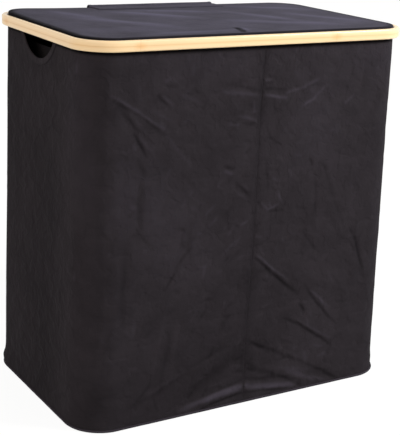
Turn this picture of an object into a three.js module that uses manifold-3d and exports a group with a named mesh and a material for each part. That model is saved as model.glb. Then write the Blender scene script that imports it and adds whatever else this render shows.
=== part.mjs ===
// Laundry hamper with two bins, in millimetres, +Z up, standing on the origin with its front towards -Y.
// Two bent bamboo hoops clamp the top edge of the cloth walls between them, and screws from inside hold
// them together. A divider sewn into the front and back seams parts the two bins, a rod in each corner
// keeps the rim up, and a stiff lid lies inside the outer hoop on the edge of the inner one.
import * as THREE from 'three';
import { mergeVertices } from 'three/addons/utils/BufferGeometryUtils.js';
import ManifoldModule from 'manifold-3d';

// Overall height to the top of the crowned lid, the gap between pieces that touch, and how far a cut
// runs past the faces that it opens
const hamperHeight = 600;
const clearance = 0.3;
const overrun = 2;

// Facets: steps in each rounded corner, steps along each slack side, and sides of rods and screws
const cornerSteps = 8;
const sideSteps = 8;
const rodSides = 16;
const screwSides = 12;

// Outer hoop of the rim
const hoopWidth = 580;
const hoopDepth = 355;
const hoopCorner = 58;
const hoopHeight = 16;
const hoopThickness = 9;
const hoopEdgeRound = 2.2;
const edgeRoundSteps = 3;

// Inner hoop, screwed to the outer one through the cloth
const innerHoopThickness = 5;
const innerHoopEdgeRound = 1;

// Wood screws of the rim
const screwLength = 12;
const screwShankRadius = 1.5;
const screwHeadRadius = 3.4;
const screwHeadHeight = 2;
const screwTipLength = 3;
const screwsAcross = 4;
const screwSpacingAcross = 130;
const screwsAlong = 2;
const screwSpacingAlong = 120;

// Cloth walls: how far they spread from the rim to the foot, their thickness, and how far a side is
// drawn in half way up
const footSpread = 7.8;
const wallThickness = 1.2;
const wallHollow = 1.5;
const wallLevels = 6;

// Base: sewn cloth, the welt round its edge with its seam allowance, and a stiff board in each bin
const baseThickness = 1.2;
const weltRadius = 1.85;
const weltSteps = 10;
const allowanceThickness = 1.2;
const allowanceWidth = 8;
const boardThickness = 3;

// Finger holes under the hoop in the two end walls: chord, depth, place along the wall and bound edge
const gripChord = 116;
const gripDepth = 34.5;
const gripTowardsBack = 9;
const gripSteps = 18;
const bindingWidth = 9;
const bindingThickness = 0.6;

// Divider between the bins, with a rod in its top hem
const dividerThickness = 1.2;
const dividerDrop = 14;
const dividerRodRadius = 3;
const hemThickness = 0.8;

// Corner rods in their sewn sleeves
const rodRadius = 4;
const sleeveThickness = 1;
const sleeveFootGap = 16;
const sleeveTopGap = 14;

// Lid: the gap round it, how far its edge stands above the hoop, its crown, cover and board
const lidGap = 1;
const lidEdgeProud = 2.4;
const lidCrown = 1.6;
const lidCoverThickness = 0.8;
const lidBoardThickness = 3;
const lidEdgeRound = 1.6;

// Cloth hinge at the middle of the back, and the way it runs down to the wall
const hingeWidth = 240;
const hingeThickness = 0.9;
const hingeOnLid = 38;
const hingeOnWall = 24;
const hingeSlope = 14;

// Liner bags that stand in the bins
const bagThickness = 0.8;
const bagFromMiddle = 8;
const bagFromEndWall = 26;
const bagFromCorner = 1;
const bagDrop = 22;
const bagHemHeight = 24;
const bagHemProud = 0.6;

// Webbing loops of the bags
const loopSpan = 130;
const loopDrop = 92;
const loopCorner = 34;
const webbingWidth = 25;
const webbingThickness = 1.5;
const loopPivotDrop = 8;

// Heights that follow from these
const hoopTop = hamperHeight - lidCrown - lidEdgeProud;
const hoopBottom = hoopTop - hoopHeight;
const lidEdgeTop = hoopTop + lidEdgeProud;
const lidBoardTop = lidEdgeTop - lidCoverThickness - clearance;
const lidBoardBottom = lidBoardTop - lidBoardThickness;
const lidUnderside = lidBoardBottom - clearance - lidCoverThickness;
const wallTop = lidUnderside - clearance;
const allowanceBottom = baseThickness + clearance;
const allowanceTop = allowanceBottom + allowanceThickness;
const wallBottom = allowanceTop + clearance;
const boardTop = wallBottom + boardThickness;
const binFloor = boardTop + clearance;
const hemRadius = dividerRodRadius + clearance + hemThickness;
const hemCentre = hoopBottom - dividerDrop;
const bagTop = hoopBottom - bagDrop;
const screwHeight = (hoopBottom + wallTop) / 2;

// Outlines: rounded rectangles given by half their width, half their depth and their corner radius
const hoopOutline = { halfWidth: hoopWidth / 2, halfDepth: hoopDepth / 2, corner: hoopCorner };
const wallTopOutline = grown(hoopOutline, -hoopThickness - clearance);
const footOutline = grown(wallTopOutline, footSpread);
const innerHoopOutline = grown(wallTopOutline, -wallThickness - clearance);
const lidOutline = grown(hoopOutline, -hoopThickness - lidGap);

function grown(outline, by) {
  return {
    halfWidth: outline.halfWidth + by,
    halfDepth: outline.halfDepth + by,
    corner: outline.corner + by,
  };
}

function scaled(outline, share) {
  return {
    halfWidth: outline.halfWidth * share,
    halfDepth: outline.halfDepth * share,
    corner: outline.corner * share,
  };
}

// Stations round a rounded rectangle, counter-clockwise from the front end of the right front corner.
// along runs from -1 to 1 on the straight sides, and slack is 1 half way along a side and 0 in a corner.
function loopStations(steps) {
  const stations = [];
  const quarter = Math.PI / 2;
  for (const start of [-quarter, 0, quarter, 2 * quarter]) {
    const middle = start + quarter / 2;
    const here = [Math.sign(Math.cos(middle)), Math.sign(Math.sin(middle))];
    const next = [Math.sign(Math.cos(middle + quarter)), Math.sign(Math.sin(middle + quarter))];
    for (let i = 0; i <= cornerSteps; i += 1) {
      const angle = start + (quarter * i) / cornerSteps;
      stations.push({ along: here, normal: [Math.cos(angle), Math.sin(angle)], slack: 0 });
    }
    const normal = [Math.cos(start + quarter), Math.sin(start + quarter)];
    for (let i = 1; i < steps; i += 1) {
      const share = i / steps;
      const along = [
        THREE.MathUtils.lerp(here[0], next[0], share),
        THREE.MathUtils.lerp(here[1], next[1], share),
      ];
      stations.push({ along, normal, slack: slackAt(share) });
    }
  }
  return stations;
}

function slackAt(share) {
  return Math.sin(Math.PI * share) ** 2;
}

// The point of an outline at a station, moved out along its normal by out and in by the slack
function onOutline(station, outline, out, z) {
  const away = outline.corner + out - station.slack * (outline.hollow ?? 0);
  return new THREE.Vector3(
    station.along[0] * (outline.halfWidth - outline.corner) + station.normal[0] * away,
    station.along[1] * (outline.halfDepth - outline.corner) + station.normal[1] * away,
    z,
  );
}

// Closes rings of equally many points into one body. A closed row joins its last ring to its first,
// and an open row gets a cap at each end.
function skin(rings, closedRow) {
  const count = rings[0].length;
  const indices = [];
  const spans = closedRow ? rings.length : rings.length - 1;
  for (let ring = 0; ring < spans; ring += 1) {
    const here = ring * count;
    const next = ((ring + 1) % rings.length) * count;
    for (let i = 0; i < count; i += 1) {
      const j = (i + 1) % count;
      indices.push(here + i, here + j, next + j, here + i, next + j, next + i);
    }
  }
  if (!closedRow) {
    indices.push(...cap(count, 0).reverse(), ...cap(count, (rings.length - 1) * count));
  }
  const geometry = new THREE.BufferGeometry();
  geometry.setFromPoints(rings.flat());
  geometry.setIndex(facingOut(rings.flat(), indices));
  geometry.computeVertexNormals();
  return geometry;
}

// A ladder of triangles between the two halves of a ring
function cap(count, first) {
  const indices = [];
  for (let i = 0; i + 1 < count - 1 - i; i += 1) {
    const far = count - 1 - i;
    indices.push(first + i, first + i + 1, first + far);
    if (i + 1 < far - 1) indices.push(first + i + 1, first + far - 1, first + far);
  }
  return indices;
}

function facingOut(points, indices) {
  let volume = 0;
  for (let i = 0; i < indices.length; i += 3) {
    const [a, b, c] = indices.slice(i, i + 3).map((index) => points[index]);
    volume += a.dot(b.clone().cross(c));
  }
  return volume < 0 ? [...indices].reverse() : indices;
}

// A flat plate of an outline between two heights
function plate(outline, low, high) {
  const stations = loopStations(1);
  return skin([low, high].map((z) => stations.map((at) => onOutline(at, outline, 0, z))), false);
}

// A body that a closed section, given as points of { out, z }, sweeps round an outline
function loop(outline, section) {
  const rings = loopStations(1).map((at) => section.map(({ out, z }) => onOutline(at, outline, out, z)));
  return skin(rings, true);
}

// Moves a shape drawn in the Y and Z directions along X, or one drawn in X and Z along Y
function alongX(shape, from, to, arcSteps = cornerSteps) {
  const basis = new THREE.Matrix4().makeBasis(
    new THREE.Vector3(0, 1, 0), new THREE.Vector3(0, 0, 1), new THREE.Vector3(1, 0, 0),
  );
  return extruded(shape, to - from, arcSteps).applyMatrix4(basis).translate(from, 0, 0);
}

function alongY(shape, from, to, arcSteps = cornerSteps) {
  const basis = new THREE.Matrix4().makeBasis(
    new THREE.Vector3(1, 0, 0), new THREE.Vector3(0, 0, 1), new THREE.Vector3(0, -1, 0),
  );
  return extruded(shape, to - from, arcSteps).applyMatrix4(basis).translate(0, to, 0);
}

// An arc of a shape gets arcSteps steps
function extruded(shape, depth, arcSteps) {
  return new THREE.ExtrudeGeometry(shape, { depth, bevelEnabled: false, curveSegments: arcSteps / 2 });
}

// A ribbon of even thickness on a line of { u, v } points, as a shape
function ribbon(line, thickness) {
  const sides = [1, -1].map((side) => line.map((point, i) => {
    const before = line[Math.max(i - 1, 0)];
    const after = line[Math.min(i + 1, line.length - 1)];
    const length = Math.hypot(after.u - before.u, after.v - before.v);
    const shift = (side * thickness) / 2 / length;
    return new THREE.Vector2(
      point.u - (after.v - before.v) * shift,
      point.v + (after.u - before.u) * shift,
    );
  }));
  return new THREE.Shape([...sides[0], ...sides[1].reverse()]);
}

const kernel = await ManifoldModule();
kernel.setup();

function solid(geometry) {
  const bare = geometry.clone();
  bare.deleteAttribute('normal');
  bare.deleteAttribute('uv');
  const merged = mergeVertices(bare);
  return new kernel.Manifold(new kernel.Mesh({
    numProp: 3,
    vertProperties: new Float32Array(merged.attributes.position.array),
    triVerts: new Uint32Array(merged.index.array),
  }));
}

function surface(body) {
  const mesh = body.getMesh();
  const geometry = new THREE.BufferGeometry();
  geometry.setAttribute('position', new THREE.BufferAttribute(mesh.vertProperties, mesh.numProp));
  geometry.setIndex(new THREE.BufferAttribute(mesh.triVerts, 1));
  geometry.computeVertexNormals();
  return geometry;
}

function cut(geometry, tools) {
  return surface(tools.reduce((body, tool) => body.subtract(solid(tool)), solid(geometry)));
}

function joined(geometry, other) {
  return surface(solid(geometry).add(solid(other)));
}

// Finishes, each piece with a material of its own
const bamboo = () => new THREE.MeshStandardMaterial({ color: '#ecd3a0', roughness: 0.5, metalness: 0 });
const wallCloth = () => new THREE.MeshStandardMaterial({ color: '#3a3237', roughness: 0.9, metalness: 0 });
const lidCloth = () => new THREE.MeshStandardMaterial({ color: '#524e5c', roughness: 0.9, metalness: 0 });
const bagCloth = () => new THREE.MeshStandardMaterial({ color: '#4c474d', roughness: 0.95, metalness: 0 });
const webbing = () => new THREE.MeshStandardMaterial({ color: '#2b272b', roughness: 0.85, metalness: 0 });
const greyboard = () => new THREE.MeshStandardMaterial({ color: '#8d7a62', roughness: 0.85, metalness: 0 });
const zincSteel = () => new THREE.MeshStandardMaterial({ color: '#b9b7b0', roughness: 0.35, metalness: 1 });

function piece(name, geometry, material) {
  const mesh = new THREE.Mesh(geometry, material);
  mesh.name = name;
  return mesh;
}

// Rim

// Section of a hoop between two depths below its outline, with rounded edges
function hoopSection(thickness, low, high, round) {
  const section = [];
  const corners = [
    { out: -round, z: high - round, start: 0 },
    { out: round - thickness, z: high - round, start: Math.PI / 2 },
    { out: round - thickness, z: low + round, start: Math.PI },
    { out: -round, z: low + round, start: -Math.PI / 2 },
  ];
  for (const { out, z, start } of corners) {
    for (let i = 0; i <= edgeRoundSteps; i += 1) {
      const angle = start + ((Math.PI / 2) * i) / edgeRoundSteps;
      section.push({ out: out + round * Math.cos(angle), z: z + round * Math.sin(angle) });
    }
  }
  return section;
}

// A turned screw or cutter whose head lies on the inner hoop and whose point looks out of the rim.
// Its profile is given from the head to the tip as radius and way outwards.
function turnedAt(profile, spot) {
  const points = profile.map(([radius, way]) => new THREE.Vector2(radius, way));
  const geometry = new THREE.LatheGeometry(points, screwSides);
  const outwards = new THREE.Quaternion().setFromUnitVectors(new THREE.Vector3(0, 1, 0), spot.normal);
  return { geometry, position: spot.position, outwards };
}

// Evenly spaced places on both sides of the middle
function spread(count, spacing) {
  return Array.from({ length: count }, (_, i) => (i - (count - 1) / 2) * spacing);
}

function screwSpots() {
  const inside = innerHoopOutline.halfDepth - innerHoopThickness + clearance;
  const insideEnd = innerHoopOutline.halfWidth - innerHoopThickness + clearance;
  const spots = [];
  for (const side of [-1, 1]) {
    for (const x of spread(screwsAcross, screwSpacingAcross)) {
      const position = new THREE.Vector3(x, side * inside, screwHeight);
      spots.push({ position, normal: new THREE.Vector3(0, side, 0) });
    }
    for (const y of spread(screwsAlong, screwSpacingAlong)) {
      const position = new THREE.Vector3(side * insideEnd, y, screwHeight);
      spots.push({ position, normal: new THREE.Vector3(side, 0, 0) });
    }
  }
  return spots;
}

function screwProfile() {
  return [
    [0, 0],
    [screwHeadRadius, 0],
    [screwShankRadius, screwHeadHeight],
    [screwShankRadius, screwLength - screwTipLength],
    [0, screwLength],
  ];
}

function screwHoleProfile() {
  const shank = screwShankRadius + clearance;
  const head = screwHeadRadius + clearance;
  return [
    [0, -overrun],
    [head, -overrun],
    [head, 0],
    [shank, screwHeadHeight],
    [shank, screwLength - screwTipLength],
    [0, screwLength + clearance],
  ];
}

function screwHoles() {
  return screwSpots().map((spot) => {
    const { geometry, position, outwards } = turnedAt(screwHoleProfile(), spot);
    return geometry.applyQuaternion(outwards).translate(position.x, position.y, position.z);
  });
}

function rim() {
  const group = new THREE.Group();
  const holes = screwHoles();
  const outer = loop(hoopOutline, hoopSection(hoopThickness, hoopBottom, hoopTop, hoopEdgeRound));
  group.add(piece('rim_outer_hoop', cut(outer, holes), bamboo()));
  const innerSection = hoopSection(innerHoopThickness, hoopBottom, wallTop, innerHoopEdgeRound);
  const inner = loop(innerHoopOutline, innerSection);
  group.add(piece('rim_inner_hoop', cut(inner, holes), bamboo()));
  screwSpots().forEach((spot, i) => {
    const { geometry, position, outwards } = turnedAt(screwProfile(), spot);
    const screw = piece(`rim_screw_${String(i + 1).padStart(2, '0')}`, geometry, zincSteel());
    screw.position.copy(position);
    screw.quaternion.copy(outwards);
    group.add(screw);
  });
  return group;
}

// Walls

// Outer face of the walls at a height: straight behind the hoop, then spreading to the foot
function wallOutline(z) {
  const share = THREE.MathUtils.clamp((hoopBottom - z) / (hoopBottom - wallBottom), 0, 1);
  const between = (name) => THREE.MathUtils.lerp(wallTopOutline[name], footOutline[name], share);
  return {
    halfWidth: between('halfWidth'),
    halfDepth: between('halfDepth'),
    corner: between('corner'),
    hollow: wallHollow * Math.sin(Math.PI * share),
  };
}

function wallHeights() {
  const heights = [wallTop];
  for (let i = 0; i <= wallLevels; i += 1) {
    heights.push(THREE.MathUtils.lerp(hoopBottom, wallBottom, i / wallLevels));
  }
  return heights;
}

// The outer face of an end wall at a place along it and a height
function endWallFace(y, z) {
  const outline = wallOutline(z);
  const straight = outline.halfDepth - outline.corner;
  const share = THREE.MathUtils.clamp((y + straight) / (2 * straight), 0, 1);
  return outline.halfWidth - outline.hollow * slackAt(share);
}

const gripRadius = ((gripChord / 2) ** 2 + gripDepth ** 2) / (2 * gripDepth);
const gripCentre = hoopBottom - gripDepth + gripRadius;

// The finger hole: a segment of a circle whose chord lies under the hoop
function gripHole(side) {
  const half = gripChord / 2;
  const angle = Math.asin((gripCentre - hoopBottom) / gripRadius);
  const shape = new THREE.Shape();
  shape.moveTo(gripTowardsBack - half, hoopBottom + overrun);
  for (let i = 0; i <= gripSteps; i += 1) {
    const turn = Math.PI + angle + ((Math.PI - 2 * angle) * i) / gripSteps;
    shape.lineTo(gripTowardsBack + gripRadius * Math.cos(turn), gripCentre + gripRadius * Math.sin(turn));
  }
  shape.lineTo(gripTowardsBack + half, hoopBottom + overrun);
  const inner = wallTopOutline.halfWidth - wallThickness - wallHollow - overrun;
  const outer = wallTopOutline.halfWidth + wallHollow + overrun;
  return alongX(shape, side < 0 ? -outer : inner, side < 0 ? -inner : outer);
}

// One half of the walls, from the front seam round the end to the back seam
function wallHalf(side) {
  const all = loopStations(sideSteps);
  const frontMiddle = all.length - sideSteps / 2;
  const half = [];
  for (let i = 0; i <= all.length / 2; i += 1) {
    half.push(all[(frontMiddle + i) % all.length]);
  }
  const seam = dividerThickness / 2 + clearance;
  const heights = wallHeights();
  const rings = half.map((station, i) => {
    const atSeam = i === 0 || i === half.length - 1;
    const face = (out) => heights.map((z) => {
      const point = onOutline(station, wallOutline(z), out, z);
      point.x = side * (atSeam ? seam : point.x);
      return point;
    });
    return [...face(0), ...face(-wallThickness).reverse()];
  });
  return cut(skin(rings, false), [gripHole(side), ...screwHoles()]);
}

// Folded tape round the edge of a finger hole, over both faces of the wall
function gripBinding(side) {
  const edge = clearance + bindingThickness;
  const inside = -wallThickness - clearance;
  const section = [
    [bindingWidth, edge],
    [-edge, edge],
    [-edge, inside - bindingThickness],
    [bindingWidth, inside - bindingThickness],
    [bindingWidth, inside],
    [-clearance, inside],
    [-clearance, clearance],
    [bindingWidth, clearance],
  ];
  const first = Math.asin((gripCentre - hoopBottom + clearance) / (gripRadius - edge));
  const rings = [];
  for (let i = 0; i <= gripSteps; i += 1) {
    const turn = Math.PI + first + ((Math.PI - 2 * first) * i) / gripSteps;
    rings.push(section.map(([away, out]) => {
      const y = gripTowardsBack + (gripRadius + away) * Math.cos(turn);
      const z = gripCentre + (gripRadius + away) * Math.sin(turn);
      return new THREE.Vector3(side * (endWallFace(y, z) + out), y, z);
    }));
  }
  return skin(rings, false);
}

// The face of the front or back wall at the seam, half way along it
function seamFace(z) {
  const outline = wallOutline(z);
  return outline.halfDepth - outline.hollow;
}

// Divider cloth: sewn into both seams over the whole height, with a hem for its rod
function divider() {
  const panelTop = hemCentre - hemRadius + hemThickness / 2;
  const heights = wallHeights();
  const shape = new THREE.Shape([
    ...heights.map((z) => new THREE.Vector2(seamFace(z), z)),
    ...[...heights].reverse().map((z) => new THREE.Vector2(-seamFace(z), z)),
    new THREE.Vector2(wallThickness - seamFace(wallTop), wallTop),
    new THREE.Vector2(wallThickness - seamFace(hoopBottom), panelTop),
    new THREE.Vector2(seamFace(hoopBottom) - wallThickness, panelTop),
    new THREE.Vector2(seamFace(wallTop) - wallThickness, wallTop),
  ]);
  const panel = alongX(shape, -dividerThickness / 2, dividerThickness / 2);
  const hem = new THREE.Shape();
  hem.absarc(0, hemCentre, hemRadius, 0, 2 * Math.PI);
  const bore = new THREE.Path();
  bore.absarc(0, hemCentre, hemRadius - hemThickness, 0, 2 * Math.PI, true);
  hem.holes.push(bore);
  const reach = seamFace(hemCentre) - wallThickness - wallHollow;
  return joined(panel, alongY(hem, -reach, reach, rodSides));
}

function dividerRod() {
  const reach = seamFace(hemCentre) - wallThickness - wallHollow;
  return new THREE.CylinderGeometry(dividerRodRadius, dividerRodRadius, 2 * reach, rodSides);
}

// Where the middle of a corner rod runs at a height, in the corner on the given sides
function rodCentre(sideX, sideY, z) {
  const outline = wallOutline(z);
  const away = outline.corner - wallThickness - 2 * clearance - sleeveThickness - rodRadius;
  return new THREE.Vector3(
    sideX * (outline.halfWidth - outline.corner + (away - clearance) * Math.SQRT1_2),
    sideY * (outline.halfDepth - outline.corner + (away - clearance) * Math.SQRT1_2),
    z,
  );
}

// Round bar or, with a bore, a round sleeve between two points whose ends stay level
function upright(low, high, radius, bore) {
  const ring = (centre, size) => Array.from({ length: rodSides }, (_, i) => {
    const angle = (2 * Math.PI * (i + 1 / 2)) / rodSides;
    return new THREE.Vector3(size * Math.cos(angle), size * Math.sin(angle)).add(centre);
  });
  const outside = [ring(low, radius), ring(high, radius)];
  return bore ? skin([...outside, ring(high, bore), ring(low, bore)], true) : skin(outside, false);
}

function walls() {
  const group = new THREE.Group();
  const ends = [['left', -1], ['right', 1]];
  for (const [name, side] of ends) {
    group.add(piece(`wall_${name}`, wallHalf(side), wallCloth()));
    group.add(piece(`grip_binding_${name}`, gripBinding(side), wallCloth()));
  }
  group.add(piece('divider_panel', divider(), wallCloth()));
  const rod = piece('divider_rod', dividerRod(), bamboo());
  rod.position.z = hemCentre;
  group.add(rod);
  for (const [endName, sideX] of ends) {
    for (const [name, sideY] of [['front', -1], ['back', 1]]) {
      const spot = `${name}_${endName}`;
      const at = (z) => rodCentre(sideX, sideY, z);
      const bar = upright(at(binFloor), at(hoopBottom - clearance), rodRadius);
      group.add(piece(`corner_rod_${spot}`, bar, bamboo()));
      const bore = rodRadius + clearance;
      const low = at(binFloor + sleeveFootGap);
      const high = at(hoopBottom - sleeveTopGap);
      const sleeve = upright(low, high, bore + sleeveThickness, bore);
      group.add(piece(`rod_sleeve_${spot}`, sleeve, wallCloth()));
    }
  }
  return group;
}

// Base

// Round welt outside the foot of the wall, with its seam allowance under the wall's edge
function weltSection() {
  const middle = (allowanceBottom + allowanceTop) / 2;
  const opening = Math.asin(allowanceThickness / 2 / weltRadius);
  const section = [{ out: -allowanceWidth, z: allowanceBottom }];
  for (let i = 0; i <= weltSteps; i += 1) {
    const angle = -Math.PI + opening + ((2 * Math.PI - 2 * opening) * i) / weltSteps;
    section.push({
      out: clearance + weltRadius + weltRadius * Math.cos(angle),
      z: middle + weltRadius * Math.sin(angle),
    });
  }
  section.push({ out: -allowanceWidth, z: allowanceTop });
  return section;
}

// Stiff board of one bin, square at the divider and round in the outer corners
function baseBoard(side) {
  const outline = grown(footOutline, -wallThickness - clearance);
  const inner = dividerThickness / 2 + clearance;
  const shape = new THREE.Shape();
  const x = outline.halfWidth - outline.corner;
  const y = outline.halfDepth - outline.corner;
  shape.moveTo(inner, -outline.halfDepth);
  shape.absarc(x, -y, outline.corner, -Math.PI / 2, 0);
  shape.absarc(x, y, outline.corner, 0, Math.PI / 2);
  shape.lineTo(inner, outline.halfDepth);
  const geometry = extruded(shape, boardThickness, cornerSteps).translate(0, 0, wallBottom);
  return side < 0 ? geometry.rotateZ(Math.PI) : geometry;
}

function base() {
  const group = new THREE.Group();
  group.add(piece('base_cloth', plate(footOutline, 0, baseThickness), wallCloth()));
  group.add(piece('base_welt', loop(footOutline, weltSection()), wallCloth()));
  group.add(piece('base_board_left', baseBoard(-1), greyboard()));
  group.add(piece('base_board_right', baseBoard(1), greyboard()));
  return group;
}

// Lid

const crownShares = [0.94, 0.82, 0.64, 0.42, 0.2];

function lidRise(share) {
  return lidCrown * (1 - share ** 2) ** 2;
}

// Upper cover: a shallow cap whose skirt hides the edge of the board, padded to a slight crown
function lidTopCover() {
  const stations = loopStations(1);
  const inside = grown(lidOutline, -lidCoverThickness);
  const skirtBottom = lidBoardBottom;
  const levels = [
    [inside, lidBoardTop + clearance],
    [inside, skirtBottom],
    [lidOutline, skirtBottom],
  ];
  for (let i = 0; i <= edgeRoundSteps; i += 1) {
    const angle = ((Math.PI / 2) * i) / edgeRoundSteps;
    levels.push([
      grown(lidOutline, lidEdgeRound * (Math.cos(angle) - 1)),
      lidEdgeTop + lidEdgeRound * (Math.sin(angle) - 1),
    ]);
  }
  const top = grown(lidOutline, -lidEdgeRound);
  for (const share of crownShares) {
    levels.push([scaled(top, share), lidEdgeTop + lidRise(share)]);
  }
  levels.push([scaled(top, crownShares.at(-1) / 2), lidEdgeTop + lidCrown]);
  return skin(levels.map(([outline, z]) => stations.map((at) => onOutline(at, outline, 0, z))), false);
}

function lid() {
  const group = new THREE.Group();
  const boardOutline = grown(lidOutline, -lidCoverThickness - clearance);
  group.add(piece('lid_cover_top', lidTopCover(), lidCloth()));
  group.add(piece('lid_board', plate(boardOutline, lidBoardBottom, lidBoardTop), greyboard()));
  const lower = plate(lidOutline, lidUnderside, lidUnderside + lidCoverThickness);
  group.add(piece('lid_cover_bottom', lower, wallCloth()));
  return group;
}

// Cloth hinge. It is sewn to the back wall, goes out over the hoop and lies on the lid. The lid turns
// about a line just outside the top edge of the hoop, where the cloth folds.

const hingeFold = hoopOutline.halfDepth - hoopThickness / 2;
const hingeLift = clearance + hingeThickness / 2;

function hingeOnBody() {
  const back = hoopOutline.halfDepth;
  const slopeFoot = hoopBottom - hingeSlope;
  const end = slopeFoot - hingeOnWall;
  const line = [end, slopeFoot].map((z) => ({ u: wallOutline(z).halfDepth + hingeLift, v: z }));
  line.push({ u: back + hingeLift, v: hoopBottom });
  for (let i = 0; i <= edgeRoundSteps; i += 1) {
    const angle = ((Math.PI / 2) * i) / edgeRoundSteps;
    line.push({
      u: back - hoopEdgeRound + (hoopEdgeRound + hingeLift) * Math.cos(angle),
      v: hoopTop - hoopEdgeRound + (hoopEdgeRound + hingeLift) * Math.sin(angle),
    });
  }
  line.push({ u: hingeFold, v: (hoopTop + lidEdgeTop) / 2 + hingeLift });
  return alongX(ribbon(line, hingeThickness), -hingeWidth / 2, hingeWidth / 2);
}

function hingeOnLidSide() {
  const edge = lidOutline.halfDepth;
  const start = edge - hingeOnLid;
  const line = [{ u: hingeFold - clearance, v: (hoopTop + lidEdgeTop) / 2 + 2 * hingeLift }];
  for (const share of [0, 1 / 3, 2 / 3, 1]) {
    const y = THREE.MathUtils.lerp(edge, start, share);
    line.push({ u: y, v: lidEdgeTop + lidRise(Math.min(y / (edge - lidEdgeRound), 1)) + hingeLift });
  }
  return alongX(ribbon(line, hingeThickness), -hingeWidth / 2, hingeWidth / 2);
}

// Liner bags, each sewn from a floor, a front and a back panel over its whole width, and a panel at the
// end wall and one at the divider between them

// Half the width and half the depth of a bag, whose square corner clears the round corner of the walls
function bagHalves() {
  const inside = grown(wallTopOutline, -wallThickness);
  const end = inside.halfWidth - bagFromEndWall;
  const across = Math.max(end - inside.halfWidth + inside.corner, 0);
  const along = Math.sqrt((inside.corner - bagFromCorner) ** 2 - across ** 2);
  return {
    width: (end - bagFromMiddle) / 2,
    depth: inside.halfDepth - inside.corner + along - bagHemProud,
  };
}

// Section of an upright panel, with a folded hem at its top, whose outer face is this far from the middle
function bagPanelSection(face) {
  const low = binFloor + bagThickness + clearance;
  const hemBottom = bagTop - bagHemHeight;
  const corners = [
    [-bagThickness, low],
    [0, low],
    [0, hemBottom],
    [bagHemProud, hemBottom],
    [bagHemProud, bagTop],
    [-bagThickness, bagTop],
  ];
  return new THREE.Shape(corners.map(([out, z]) => new THREE.Vector2(face + out, z)));
}

function bagPanels(sideX) {
  const half = bagHalves();
  const reach = half.depth - bagThickness - clearance;
  const acrossBag = () => alongX(bagPanelSection(half.depth), -half.width, half.width);
  const alongBag = () => alongY(bagPanelSection(half.width), -reach, reach);
  const turned = (geometry) => geometry.rotateZ(Math.PI);
  const floor = new THREE.BoxGeometry(2 * half.width, 2 * half.depth, bagThickness);
  return {
    floor: floor.translate(0, 0, binFloor + bagThickness / 2),
    front_panel: turned(acrossBag()),
    back_panel: acrossBag(),
    end_panel: sideX < 0 ? turned(alongBag()) : alongBag(),
    middle_panel: sideX < 0 ? alongBag() : turned(alongBag()),
  };
}

// Centre line of a webbing loop that hangs from its two ends, seen from the front
function loopLine() {
  const x = (loopSpan - webbingWidth) / 2;
  const low = webbingWidth / 2 - loopDrop;
  const line = [{ u: -x, v: 0 }];
  for (const [side, start] of [[-1, Math.PI], [1, (3 * Math.PI) / 2]]) {
    for (let i = 0; i <= cornerSteps; i += 1) {
      const angle = start + ((Math.PI / 2) * i) / cornerSteps;
      line.push({
        u: side * (x - loopCorner) + loopCorner * Math.cos(angle),
        v: low + loopCorner + loopCorner * Math.sin(angle),
      });
    }
  }
  line.push({ u: x, v: 0 });
  return line;
}

function bags() {
  const group = new THREE.Group();
  const half = bagHalves();
  for (const [endName, sideX] of [['left', -1], ['right', 1]]) {
    const middle = sideX * (bagFromMiddle + half.width);
    for (const [part, geometry] of Object.entries(bagPanels(sideX))) {
      const panel = piece(`bag_${part}_${endName}`, geometry, bagCloth());
      panel.position.x = middle;
      group.add(panel);
    }
    for (const [name, sideY] of [['front', -1], ['back', 1]]) {
      const face = half.depth - bagThickness - clearance;
      const from = sideY < 0 ? 0 : -webbingThickness;
      const strap = alongY(ribbon(loopLine(), webbingWidth), from, from + webbingThickness);
      const handle = piece(`bag_loop_${name}_${endName}`, strap, webbing());
      handle.position.set(middle, sideY * face, bagTop - loopPivotDrop);
      group.add(handle);
    }
  }
  return group;
}

function hinge() {
  const group = new THREE.Group();
  group.add(piece('hinge_cloth_body_side', hingeOnBody(), lidCloth()));
  group.add(piece('hinge_cloth_lid_side', hingeOnLidSide(), lidCloth()));
  return group;
}

const hamper = new THREE.Group();
hamper.add(rim(), walls(), base(), lid(), hinge(), bags());

export default hamper;
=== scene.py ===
"""Dresses the solid model of a laundry hamper with two bins in bamboo, cloth, webbing and thread.

Lengths are in metres. The hamper stands on the origin with its front towards -Y, as the solid model does.
"""

import math

import bpy
import numpy as np
from bpy.props import FloatProperty, FloatVectorProperty, IntProperty, PointerProperty
from mathutils import Matrix, Vector, noise


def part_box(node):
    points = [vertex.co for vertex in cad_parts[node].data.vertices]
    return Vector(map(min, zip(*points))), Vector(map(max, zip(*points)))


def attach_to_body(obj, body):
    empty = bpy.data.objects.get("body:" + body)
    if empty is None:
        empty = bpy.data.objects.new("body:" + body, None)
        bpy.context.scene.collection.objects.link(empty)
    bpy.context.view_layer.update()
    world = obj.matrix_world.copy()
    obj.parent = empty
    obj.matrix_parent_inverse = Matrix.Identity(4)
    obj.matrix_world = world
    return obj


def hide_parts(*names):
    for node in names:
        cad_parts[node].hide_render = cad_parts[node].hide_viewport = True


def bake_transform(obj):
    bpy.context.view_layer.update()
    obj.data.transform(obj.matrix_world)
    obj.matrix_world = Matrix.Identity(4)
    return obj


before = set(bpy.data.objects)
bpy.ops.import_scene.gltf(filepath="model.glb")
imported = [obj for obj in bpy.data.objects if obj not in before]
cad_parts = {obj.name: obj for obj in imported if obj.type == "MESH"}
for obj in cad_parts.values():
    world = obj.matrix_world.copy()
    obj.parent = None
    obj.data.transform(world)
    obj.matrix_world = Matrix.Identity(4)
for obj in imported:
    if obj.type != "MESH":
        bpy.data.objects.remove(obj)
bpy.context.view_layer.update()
MM = 0.001

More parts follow.
